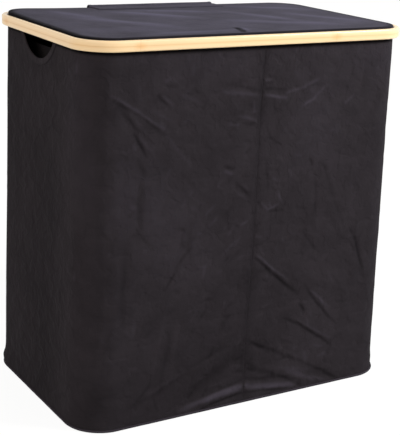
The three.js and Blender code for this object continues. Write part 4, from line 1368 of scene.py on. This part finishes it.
class BuildRods(bpy.types.Operator):
    """Put a rod in its sewn sleeve in every corner"""

    bl_idname = "hamper.build_rods"
    bl_label = "Corner rods"

    def execute(self, context):
        size, rows = sizes(), 60
        for spot in CORNERS:
            low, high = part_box(f"corner_rod_{spot}")
            sleeve_low, sleeve_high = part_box(f"rod_sleeve_{spot}")
            side_x = math.copysign(1, low.x + high.x)
            side_y = math.copysign(1, low.y + high.y)
            spans = [sorted((abs(low[axis]), abs(high[axis]))) for axis in (0, 1)]
            top = [near + size.rod_radius for near, _ in spans]
            foot = [far - size.rod_radius for _, far in spans]

            def middle_at(level):
                share = (high.z - level) / (high.z - low.z)
                x, y = (a + (b - a) * share for a, b in zip(top, foot))
                return Vector((side_x * x, side_y * y, level))

            levels = [(low.z, size.rod_radius), (high.z, size.rod_radius)]
            rod = column(f"corner_bar_{spot}", levels, middle_at, "bamboo_rod")
            attach(rod, "hamper_body", "bamboo", f"corner_rod_{spot}")
            bore = size.rod_radius + size.clearance
            levels = []
            for z in np.linspace(sleeve_low.z, sleeve_high.z, rows):
                full = 0.8 + 0.2 * noise.noise((side_x, side_y, z / 0.02))
                levels.append((z, bore + size.sleeve_thickness * full))
            sleeve = column(f"corner_sleeve_{spot}", levels, middle_at, "wall_cloth", bore=bore)
            attach(sleeve, "hamper_body", "wall_cloth", f"rod_sleeve_{spot}")
        return {"FINISHED"}


class BuildBase(bpy.types.Operator):
    """Sew the base cloth and its welt, and lay the boards"""

    bl_idname = "hamper.build_base"
    bl_label = "Base"

    def execute(self, context):
        foot, edge = Walls().foot, 0.3 * MM
        stations = loop_stations(foot, STATION_STEP)
        bottom, top = BASE_LOW.z, BASE_HIGH.z
        levels = [(-edge, bottom), (0.0, bottom + edge), (0.0, top - edge), (-edge, top)]
        rings = np.array([foot.points(stations, out, z) for out, z in levels])
        swept("base_sheet", rings, planar_uv(rings), "wall_cloth", "hamper_body", "base_cloth")
        self.sew_welt(foot, stations)
        for node in ("base_board_left", "base_board_right", "lid_board"):
            repaint(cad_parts[node], finishes()["greyboard"])
        return {"FINISHED"}

    @staticmethod
    def sew_welt(foot, stations):
        """The round welt outside the foot, with its two edges sewn in below the walls."""
        # The welt's tone is raised throughout as painted light, on a welt that lies in shade.
        lap, half_lap, mouth, unevenness, painted_welt_light = 8 * MM, 0.6 * MM, 0.33, 0.25 * MM, 0.35
        radius = (WELT_HIGH.z - WELT_LOW.z) / 2 + 0.05 * MM
        middle = (WELT_HIGH.z + WELT_LOW.z) / 2
        out = WELT_HIGH.x - foot.half_width - radius
        turns = np.linspace(mouth - math.pi, math.pi - mouth, 17)
        section = [(-lap, middle - half_lap)]
        section += [(out + radius * math.cos(a), middle + radius * math.sin(a)) for a in turns]
        section += [(-lap, middle + half_lap)]
        way = ways(foot.points(stations, 0, 0), closed=True)
        rows = []
        for index, station in enumerate(stations):
            pull = unevenness * noise.noise((way[index] / 0.02, 1.3, 0.4))
            pulled = [(a + (pull if a > 0 else 0), z) for a, z in section]
            rows.append([foot.points(station[None, :], a, z)[0] for a, z in pulled])
        uv = flat_uv(way, ways(section, closed=True))
        swept("foot_welt", rows, uv, "wall_cloth", "hamper_body", "base_welt", closed_path=True,
              crease=60.0, ridge=np.full((len(rows), len(section)), painted_welt_light))


def repaint(node, material):
    """Gives a solid that stays in view a finish of its own."""
    node.data.materials.clear()
    node.data.materials.append(material)


def planar_uv(rings):
    """UV lengths straight from above, for bodies of level rings."""
    flat = np.asarray(rings)[:, :, :2]
    return np.concatenate([flat, flat[:, :1]], axis=1)


# Folds and broad swells of the lid's cloth, by the places of their two ends, their height and their
# half width in millimetres
LID_FOLDS = ((-9, -116, -21, -158, -2.0, 4.6), (-3, -118, -14, -156, 1.0, 4))
LID_SWELLS = (
    (-215, 60, -90, -100, 0.9, 14), (-125, 115, 0, -20, 0.9, 15), (-200, -146, 20, -130, 0.7, 10),
    (70, 80, 155, -100, 0.9, 15), (-215, 140, -150, -20, 0.7, 13), (10, -45, 190, -130, 0.8, 14),
    (110, 130, 260, 50, 0.8, 14), (-90, 118, 70, 45, 0.8, 13), (170, 30, 250, -100, 0.7, 13),
)

# The corner of the lid that stands up a little: its place, its rise and how far it reaches
RAISED_CORNER = (-0.280, 0.1675, 0.0022, 0.085)


def lid_top():
    """Height of the lid's cover at its edge, and how much higher its middle lies."""
    size = sizes()
    edge_top = LID_BOARD_TOP + size.clearance + size.lid_cover
    return edge_top, LID_HIGH.z - edge_top


def crowned(share):
    """Share of the lid's crown at a share of the way from its middle to its edge."""
    return (1 - share ** 2) ** 2


def raised_corner(x, y):
    """How much higher the lid's cover lies near its raised corner."""
    corner_x, corner_y, rise, reach = RAISED_CORNER
    return rise * bell(x - corner_x, reach) * bell(y - corner_y, reach)


class BuildLid(bpy.types.Operator):
    """Stretch the lid's covers over its board"""

    bl_idname = "hamper.build_lid"
    bl_label = "Lid"

    def execute(self, context):
        lid = Walls().lid
        stations = loop_stations(lid, 3.6 * MM)
        self.stretch_top(lid, stations)
        edge, turned_in = 0.25 * MM, 5 * MM
        low, high = LID_UNDER_LOW.z, LID_UNDER_HIGH.z
        levels = [(-edge, high), (0.0, high - edge), (0.0, low + edge), (-edge, low), (-turned_in, low)]
        rings = [lid.grown(out).points(stations, 0.0, z) for out, z in levels]
        swept("lid_cloth_under", rings, planar_uv(rings), "wall_cloth", "lid", "lid_cover_bottom")
        return {"FINISHED"}

    @staticmethod
    def stretch_top(lid, stations):
        """The upper cover, up round the edge of the board and in over its crown."""
        size = sizes()
        edge_top, crown = lid_top()
        inside, top = lid.grown(-size.lid_cover), lid.grown(-size.lid_round)
        levels = [(inside, LID_BOARD_TOP + size.clearance), (inside, LID_LOW.z), (lid, LID_LOW.z)]
        below_edge = len(levels)
        for angle in np.linspace(0, math.pi / 2, 5):
            out, up = size.lid_round * (math.cos(angle) - 1), size.lid_round * (math.sin(angle) - 1)
            levels.append((lid.grown(out), edge_top + up))
        rings = [outline.points(stations, 0.0, z) for outline, z in levels]
        # Painted shade along the lid's edge, heavier on the left side.
        edge_shade = 0.80 - 0.20 * stations[:, 2]
        painted_light = [-edge_shade] * len(rings)

        edge_gap, fine_step, coarse_step, fine_reach = 2 * MM, 2.4 * MM, 6 * MM, 60 * MM
        depths = [edge_gap]
        while depths[-1] < 0.96 * top.half_depth:
            depths.append(depths[-1] + (fine_step if depths[-1] < fine_reach else coarse_step))
        hinge_front, hinge_side, swell_fade, fold_shade = 118 * MM, 134 * MM, 1.4, 2.6
        for depth in depths:
            share = max(1 - depth / top.half_depth, 0.02)
            ring = top.scaled(share).points(stations, 0.0, edge_top)
            x, y = ring[:, 0], ring[:, 1]
            under_hinge = smooth_step((y - hinge_front) / (10 * MM))
            under_hinge = under_hinge * smooth_step((hinge_side - np.abs(x)) / (8 * MM))
            calm = smooth_step(depth / (20 * MM)) * (1 - under_hinge)
            folds = (ridge_at(x, y, LID_FOLDS) + ridge_at(x, y, LID_SWELLS, swell_fade)) * calm
            waves = size.lid_waves * soft_noise(x / 0.10, y / 0.06, 5.2) * calm
            ring[:, 2] += crown * crowned(share) + folds + waves
            rings.append(ring)
            # Folds and waves get painted highlights on their crests and stronger painted shade in their
            # hollows; painted shade near the edge.
            folded = np.where(folds < 0, fold_shade, 1.0) * folds / (2.1 * MM)
            at_edge = 1 - smooth_step((depth - edge_gap) / (4 * MM))
            painted_light.append(folded + waves / (3 * MM) - edge_shade * at_edge)
        for ring in rings[below_edge:]:
            ring[:, 2] += raised_corner(ring[:, 0], ring[:, 1])
        swept("lid_cloth_top", rings, planar_uv(rings), "lid_cloth", "lid", "lid_cover_top",
              crease=50.0, ridge=np.clip(painted_light, -1, 0.6))


def hinge_path(walls):
    """Side line of the cloth hinge as places in depth and height, the way along it, and its fold.

    It goes up the wall and the back of the hoop, over the hoop in an arch, and on over the lid.
    """
    size = sizes()
    lift = size.clearance + size.hinge_thickness / 2
    body_low, lid_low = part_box("hinge_cloth_body_side")[0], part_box("hinge_cloth_lid_side")[0]
    wall, hoop = walls.top.half_depth + lift, HOOP_HIGH.y + lift
    corners = [(wall + 0.6 * MM, body_low.z), (wall + 0.3 * MM, HOOP_LOW.z - 14 * MM)]
    corners += [(hoop, HOOP_LOW.z + 1 * MM), (hoop + 0.3 * MM, HOOP_HIGH.z - 4 * MM)]
    arch_y, arch_z, arch_depth, arch_rise = HOOP_HIGH.y - 3.4 * MM, HOOP_HIGH.z - 0.5 * MM, 5 * MM, 5.8 * MM
    for angle in np.linspace(0, math.pi, 9)[1:-1]:
        corners.append((arch_y + arch_depth * math.cos(angle), arch_z + arch_rise * math.sin(angle)))
    edge_top, crown = lid_top()
    for depth in np.linspace(LID_HIGH.y - 3 * MM, lid_low.y, 9):
        rise = crown * crowned(min(depth / (LID_HIGH.y - size.lid_round), 1))
        corners.append((depth, edge_top + rise + lift + 0.1 * MM))
    corners = np.array(corners)
    way = ways(corners)

    def at(spot):
        return np.stack([np.interp(spot, way, column) for column in corners.T], -1)

    fold_corner, fold_gap, step = 6, 1.2 * MM, 2.5 * MM
    turn = way[fold_corner]
    before = np.arange(turn - fold_gap, 0, -step)[::-1]
    after = np.arange(turn + fold_gap, way[-1], step)
    spots = np.concatenate([[0.0], before, after, [way[-1]]])
    return at(spots), spots, at(turn)


def thin_at(reach):
    """Share of the hinge's thickness near its sewn edge on the lid."""
    return 0.45 + 0.55 * smooth_step(reach / (5 * MM))


class BuildHinge(bpy.types.Operator):
    """Sew the cloth hinge over the back of the rim"""

    bl_idname = "hamper.build_hinge"
    bl_label = "Cloth hinge"

    def execute(self, context):
        size = sizes()
        edge, edge_share, side_gap, points_across = 1 * MM, 0.45, 4 * MM, 59
        hem_width, hem_rise, ripple_rise, ripple_dip = 6 * MM, 0.35 * MM, 0.16 * MM, 0.1 * MM
        line, spots, fold = hinge_path(Walls())
        half = size.hinge_width / 2
        middle = np.linspace(side_gap - half, half - side_gap, points_across)
        x = np.concatenate([[-half, edge - half], middle, [half - edge, half]])
        hem = np.where(np.abs(x) > half - hem_width, hem_rise, 0.0) * smooth_step((half - np.abs(x)) / edge)
        thick = np.full(len(x), size.hinge_thickness / 2)
        thick[[0, -1]] *= edge_share
        rings = []
        for (y, z), (out_y, out_z), spot in zip(line, -beside(line), spots):
            ripple = ripple_rise * np.array([noise.noise((a / 0.035, spot / 0.02, 7.7)) for a in x])
            upper = thick * (2 * thin_at(spots[-1] - spot) - 1) + hem + np.maximum(ripple, -ripple_dip)
            outer = np.stack([x, y + out_y * upper, z + out_z * upper], -1)
            inner = np.stack([x, y - out_y * thick, z - out_z * thick], -1)[::-1]
            rings.append(np.concatenate([outer, inner]))
        uv = flat_uv(spots, np.concatenate([x, x[::-1], x[:1]]))
        made = sweep("hinge_strip", rings, uv, False, finishes()["lid_cloth"], crease=60.0)
        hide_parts("hinge_cloth_body_side", "hinge_cloth_lid_side")
        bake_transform(made)
        return {"FINISHED"}


def bag_outline(name):
    """Outline of a liner bag, the middle of its width, and the heights of its floor and its top."""
    low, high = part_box(f"bag_floor_{name}")
    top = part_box(f"bag_front_panel_{name}")[1].z
    outline = Outline((high.x - low.x) / 2, high.y, sizes().bag_corner)
    return outline, (low.x + high.x) / 2, low.z, top


class BuildBags(bpy.types.Operator):
    """Sew the two liner bags"""

    bl_idname = "hamper.build_bags"
    bl_label = "Liner bags"

    def execute(self, context):
        size = sizes()
        cloth, hem_height, hem_out, hem_edge = size.thin_cloth, 24 * MM, 0.6 * MM, 0.5 * MM
        foot_round, foot_gap, hem_gap, row_step = 7 * MM, 8 * MM, 4 * MM, 9 * MM
        floor_shares = (0.04, 0.5, 0.85)
        for name, side in SIDES.items():
            outline, middle, floor, top = bag_outline(name)
            stations = loop_stations(outline, STATION_STEP)
            way = ways(outline.points(stations, 0, 0), closed=True)[:-1]
            hem_bottom = top - hem_height

            def slack(z, inset):
                """How far the cloth leaves its plain line at a height, held by its hem and its foot."""
                held = smooth_step((top - 30 * MM - z) / (90 * MM)) * smooth_step((z - floor) / (30 * MM))
                wander = soft_noise(way / 0.055, np.full(len(way), z / 0.30), 2.0 + side)
                fine = soft_noise(way / 0.021, np.full(len(way), z / 0.08), 7.0 + side)
                free = 0.25 + 0.75 * stations[:, 4]
                return held * free * size.bag_slack * (0.9 + 0.8 * wander + 0.3 * fine) - inset

            def rows(inset):
                """The outer or the inner face, from the middle of the floor to just below the hem."""
                bottom, round_now = floor + inset, foot_round - inset
                made = [outline.scaled(share).points(stations, 0, bottom) for share in floor_shares]
                for angle in np.linspace(0, math.pi / 2, 6):
                    out = -inset - round_now * (1 - math.sin(angle))
                    made.append(outline.points(stations, out, bottom + round_now * (1 - math.cos(angle))))
                for z in np.arange(bottom + foot_round + foot_gap, hem_bottom - hem_gap, row_step):
                    made.append(outline.points(stations, slack(z, inset), z))
                return made

            pull = np.minimum(0.25 * MM * soft_noise(way / 0.03, 0.0, 4.4 + side), 0)
            hem = [(0.0, hem_bottom - 1 * MM), (0.5 * MM, hem_bottom), (hem_out, hem_bottom + 1 * MM),
                   (hem_out, top - hem_edge), (hem_out / 2, top), (-hem_edge, top),
                   (-cloth, top - hem_edge), (-cloth, hem_bottom)]
            hem_rings = [outline.points(stations, out + pull, z) for out, z in hem]
            rings = np.array(rows(0.0) + hem_rings + rows(cloth)[::-1])
            rings[:, :, 0] += middle
            uv = flat_uv(ways(rings[:, 0]), np.append(way, way[-1] + STATION_STEP))
            parts = ("floor", "front_panel", "back_panel", "end_panel", "middle_panel")
            nodes = [f"bag_{part}_{name}" for part in parts]
            swept(f"liner_bag_{name}", rings, uv, "bag_cloth", "hamper_body", *nodes, crease=60.0)
        return {"FINISHED"}


def loop_line(name):
    """Centre line of a webbing loop, from one sewn end to the other, and half its thickness."""
    low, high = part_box(f"bag_loop_{name}")
    half, corner = sizes().webbing_width / 2, 34 * MM
    left, right = low.x + half, high.x - half
    foot, y = low.z + half, (low.y + high.y) / 2
    points = [(left, y, z) for z in np.linspace(high.z, foot + corner, 12)[:-1]]
    for middle, start in ((left + corner, math.pi), (right - corner, 1.5 * math.pi)):
        points += [(middle + corner * math.cos(a), y, foot + corner + corner * math.sin(a))
                   for a in np.linspace(start, start + math.pi / 2, 13)]
    points += [(right, y, z) for z in np.linspace(foot + corner, high.z, 12)[1:]]
    return np.array(points), (high.y - low.y) / 2


class BuildLoops(bpy.types.Operator):
    """Hang the webbing loops in the bags"""

    bl_idname = "hamper.build_loops"
    bl_label = "Webbing loops"

    def execute(self, context):
        half, thinnest, points_across = sizes().webbing_width / 2, 0.25, 15
        out, across = np.array([0.0, 1.0, 0.0]), np.linspace(-1, 1, points_across)
        for name in CORNERS:
            points, deep = loop_line(name)
            past_flat = np.maximum(np.abs(across) * half - half + deep, 0)
            full = np.maximum(np.sqrt(np.clip(1 - past_flat ** 2 / deep ** 2, 0, 1)), thinnest)
            section = [(a * half, deep * b) for a, b in zip(across, full)]
            section += [(a, -b) for a, b in section[::-1]]
            tangent = np.gradient(points, axis=0)
            to_side = np.cross(out, tangent / np.linalg.norm(tangent, axis=1)[:, None])
            rings = [[spot + side * a + out * b for a, b in section] for spot, side in zip(points, to_side)]
            uv = flat_uv(ways(points), ways(section, closed=True))
            swept(f"webbing_loop_{name}", rings, uv, "webbing", f"loop_{name}", f"bag_loop_{name}",
                  crease=60.0)
        return {"FINISHED"}


def hinge_stitches(line, along, lift):
    """Lines of thread round one sewn part of the hinge, which runs in depth (0) or in height (1)."""
    half, inset, end = sizes().hinge_width / 2, 4 * MM, 3 * MM
    line = line.copy()
    line[:, 1 - along] += lift
    way, lines = line[:, along], []
    for place_along in (way[0] + inset, way[-1]):
        spot = [np.interp(place_along, way, column) for column in line.T]
        lines.append(np.array([(x, *spot) for x in np.arange(inset - half, half - end, inset)]))
    for x in (inset - half, half - inset):
        lines.append(np.array([(x, *spot) for spot in line[way > way[0] + inset]]))
    return lines


class BuildStitches(bpy.types.Operator):
    """Sew every visible seam with thread"""

    bl_idname = "hamper.build_stitches"
    bl_label = "Stitches"

    def execute(self, context):
        walls, size = Walls(), sizes()
        line = hinge_path(walls)[0]
        on_wall = line[line[:, 1] < HOOP_LOW.z - 16 * MM]
        on_lid = line[line[:, 0] < LID_HIGH.y - 3 * MM][::-1]
        hinge_lift = size.hinge_thickness / 2 + 0.12 * MM
        lines = self.wall_lines(walls) + hinge_stitches(on_wall, 1, hinge_lift)
        sewn("stitches_body", lines, "hamper_body")

        board_gap, below = 6 * MM, 0.05 * MM
        stations = loop_stations(walls.lid, STATION_STEP)
        round_lid = walls.lid.grown(-board_gap).points(stations, 0, LID_UNDER_LOW.z - below)
        sewn("stitches_lid", [*hinge_stitches(on_lid, 0, hinge_lift), round_lid], "lid", "lit_lid_thread")

        sewn("stitches_bags", self.bag_lines(), "hamper_body")
        for name in CORNERS:
            sewn(f"stitches_loop_{name}", self.loop_lines(name), f"loop_{name}")
        return {"FINISHED"}

    @staticmethod
    def wall_lines(walls):
        """Lines round both finger holes and along the foot."""
        size, edge_gap, foot_height, seam_gap = walls.size, 1.8 * MM, 7.5 * MM, 4 * MM
        on_tape, on_cloth = size.clearance + size.binding_thickness + 0.05 * MM, 0.1 * MM
        along = walls.way[(walls.way > seam_gap) & (walls.way < walls.way[-1] - seam_gap)]
        lines = []
        for side in (-1, 1):
            lines.append(grip_line(walls, side, size.binding_width - edge_gap, on_tape))
            lines.append(walls.points(side, along, foot_height, on_cloth))
        return lines

    @staticmethod
    def bag_lines():
        """Two lines round each bag's hem, outside and inside."""
        below_top, outside, inside = (5 * MM, 21 * MM), 0.65 * MM, -0.85 * MM
        lines = []
        for name in SIDES:
            outline, middle, _, top = bag_outline(name)
            stations = loop_stations(outline, STATION_STEP)
            for depth in below_top:
                for out in (outside, inside):
                    row = outline.points(stations, out, top - depth)
                    row[:, 0] += middle
                    lines.append(np.vstack([row, row[:1]]))
        return lines

    @staticmethod
    def loop_lines(name):
        """A box with a cross at both ends of a webbing loop."""
        from_edge, from_end, deep, above = 3 * MM, 2 * MM, 14 * MM, 0.05 * MM
        points, half_thickness = loop_line(name)
        reach = sizes().webbing_width / 2 - from_edge
        inward = math.copysign(1, -points[0, 1])
        lines = []
        for x, y, z in (points[0], points[-1]):
            y = y + inward * (half_thickness + above)
            corners = [(x - reach, y, z - from_end), (x + reach, y, z - from_end),
                       (x + reach, y, z - deep), (x - reach, y, z - deep)]
            lines.append(np.array([corners[i] for i in (0, 1, 2, 3, 0, 2)]))
            lines.append(np.array([corners[3], corners[1]]))
        return lines


# Plain white, and the length of the camera's sensor in millimetres
WHITE, SENSOR = (1, 1, 1, 1), 36.0


class SetStage(bpy.types.Operator):
    """Lay the floor and place the lights and the camera"""

    bl_idname = "hamper.set_stage"
    bl_label = "Stage"

    def execute(self, context):
        stage, scene = context.scene.stage_sizes, context.scene
        scene.view_settings.view_transform = "Standard"
        half, gap = stage.floor_size / 2, 0.5 * MM
        mesh = bpy.data.meshes.new("floor")
        corners = [(-half, -half), (half, -half), (half, half), (-half, half)]
        mesh.from_pydata([(x, y, -gap) for x, y in corners], [], [(0, 1, 2, 3)])
        mesh.materials.append(self.floor_material(stage))
        floor = bpy.data.objects.new("floor", mesh)
        scene.collection.objects.link(floor)
        self.light_world(scene, stage)
        key = self.add_lamp("key", "AREA", stage.key_light, stage.key_place, stage.key_aim)
        key.size = stage.key_size
        fill = self.add_lamp("fill", "SUN", stage.fill_light, stage.fill_place, Vector((0, 0, 0)))
        fill.angle, fill.color = stage.fill_spread, colours().fill
        self.add_camera(scene, stage)
        return {"FINISHED"}

    @staticmethod
    def seen_directly(tree):
        """1 for what the camera sees, straight or in a shiny or clear surface, and 0 for other light."""
        rays = place(tree, "ShaderNodeLightPath").outputs
        seen = maths(tree, "MAXIMUM", rays["Is Camera Ray"], rays["Is Glossy Ray"])
        return maths(tree, "MAXIMUM", seen, rays["Is Transmission Ray"])

    def floor_material(self, stage):
        """Pale floor that is white to the eye and still takes the shadow."""
        glow_share = 0.82
        material = bpy.data.materials.new("Floor")
        tree = emptied(material)
        cloudy = speckle(tree, object_place(tree), scale=1.6, detail=2.0)
        colour = two_tone(tree, cloudy, colours().floor, 0.99, 1.01)
        matt = given_by(tree, "ShaderNodeBsdfDiffuse", {"Color": colour})
        glow = given_by(tree, "ShaderNodeEmission", {"Color": WHITE, "Strength": stage.floor_glow})
        share = glow_share * self.seen_directly(tree)
        mixed = given_by(tree, "ShaderNodeMixShader", {0: share, 1: matt, 2: glow})
        place(tree, "ShaderNodeOutputMaterial", {"Surface": mixed})
        return material

    def light_world(self, scene, stage):
        """Even light all round, in front of plain white."""
        world = scene.world or bpy.data.worlds.new("Studio")
        scene.world = world
        tree = emptied(world)
        strength = maths(tree, "MAXIMUM", self.seen_directly(tree), stage.sky_light)
        sky = given_by(tree, "ShaderNodeBackground", {"Color": WHITE, "Strength": strength})
        place(tree, "ShaderNodeOutputWorld", {"Surface": sky})

    @staticmethod
    def add_lamp(name, kind, strength, spot, target):
        """A lamp at a place, turned to a target. Returns its light."""
        light = bpy.data.lights.new(name, kind)
        light.energy = strength
        lamp = bpy.data.objects.new(name, light)
        lamp.location = spot
        lamp.rotation_mode = "QUATERNION"
        lamp.rotation_quaternion = (Vector(spot) - target).to_track_quat("Z", "Y")
        bpy.context.scene.collection.objects.link(lamp)
        return light

    @staticmethod
    def add_camera(scene, stage):
        """The camera, turned by its three angles."""
        turn, rise, roll = stage.azimuth, stage.elevation, stage.roll
        back = Vector((math.sin(turn) * math.cos(rise), -math.cos(turn) * math.cos(rise), math.sin(rise)))
        right = Vector((0, 0, 1)).cross(back).normalized()
        up = back.cross(right)
        across = right * math.cos(roll) + up * math.sin(roll)
        upright = up * math.cos(roll) - right * math.sin(roll)
        view = bpy.data.cameras.new("camera")
        view.lens, view.sensor_width, view.sensor_fit = stage.lens, SENSOR, "AUTO"
        camera = bpy.data.objects.new("camera", view)
        rotation = Matrix((across, upright, back)).transposed().to_4x4()
        camera.matrix_world = Matrix.Translation(stage.camera_place) @ rotation
        scene.collection.objects.link(camera)
        scene.camera = camera


PIECES = (
    BuildRim, BuildScrews, BuildWalls, BuildBindings, BuildDivider, BuildRods, BuildBase, BuildLid,
    BuildHinge, BuildBags, BuildLoops, BuildStitches, SetStage,
)


class HamperPanel(bpy.types.Panel):
    """Lists the hamper's pieces in the order in which they are made"""

    bl_idname = "VIEW3D_PT_hamper"
    bl_label = "Laundry hamper"
    bl_space_type = "VIEW_3D"
    bl_region_type = "UI"
    bl_category = "Hamper"

    def draw(self, context):
        for piece in PIECES:
            self.layout.operator(piece.bl_idname)
        for group in (context.scene.hamper_sizes, context.scene.hamper_colours, context.scene.stage_sizes):
            box = self.layout.box()
            for name in group.bl_rna.properties.keys():
                if name not in ("rna_type", "name"):
                    box.prop(group, name)


GROUPS = {"hamper_sizes": HamperSizes, "hamper_colours": HamperColours, "stage_sizes": StageSizes}


def register():
    for kind in (*GROUPS.values(), *PIECES, HamperPanel):
        bpy.utils.register_class(kind)
    for name, kind in GROUPS.items():
        setattr(bpy.types.Scene, name, PointerProperty(type=kind))


def unregister():
    for name in GROUPS:
        delattr(bpy.types.Scene, name)
    for kind in reversed((*GROUPS.values(), *PIECES, HamperPanel)):
        bpy.utils.unregister_class(kind)


def main():
    register()
    for piece in PIECES:
        group, name = piece.bl_idname.split(".")
        getattr(getattr(bpy.ops, group), name)()


if __name__ == "__main__":
    main()
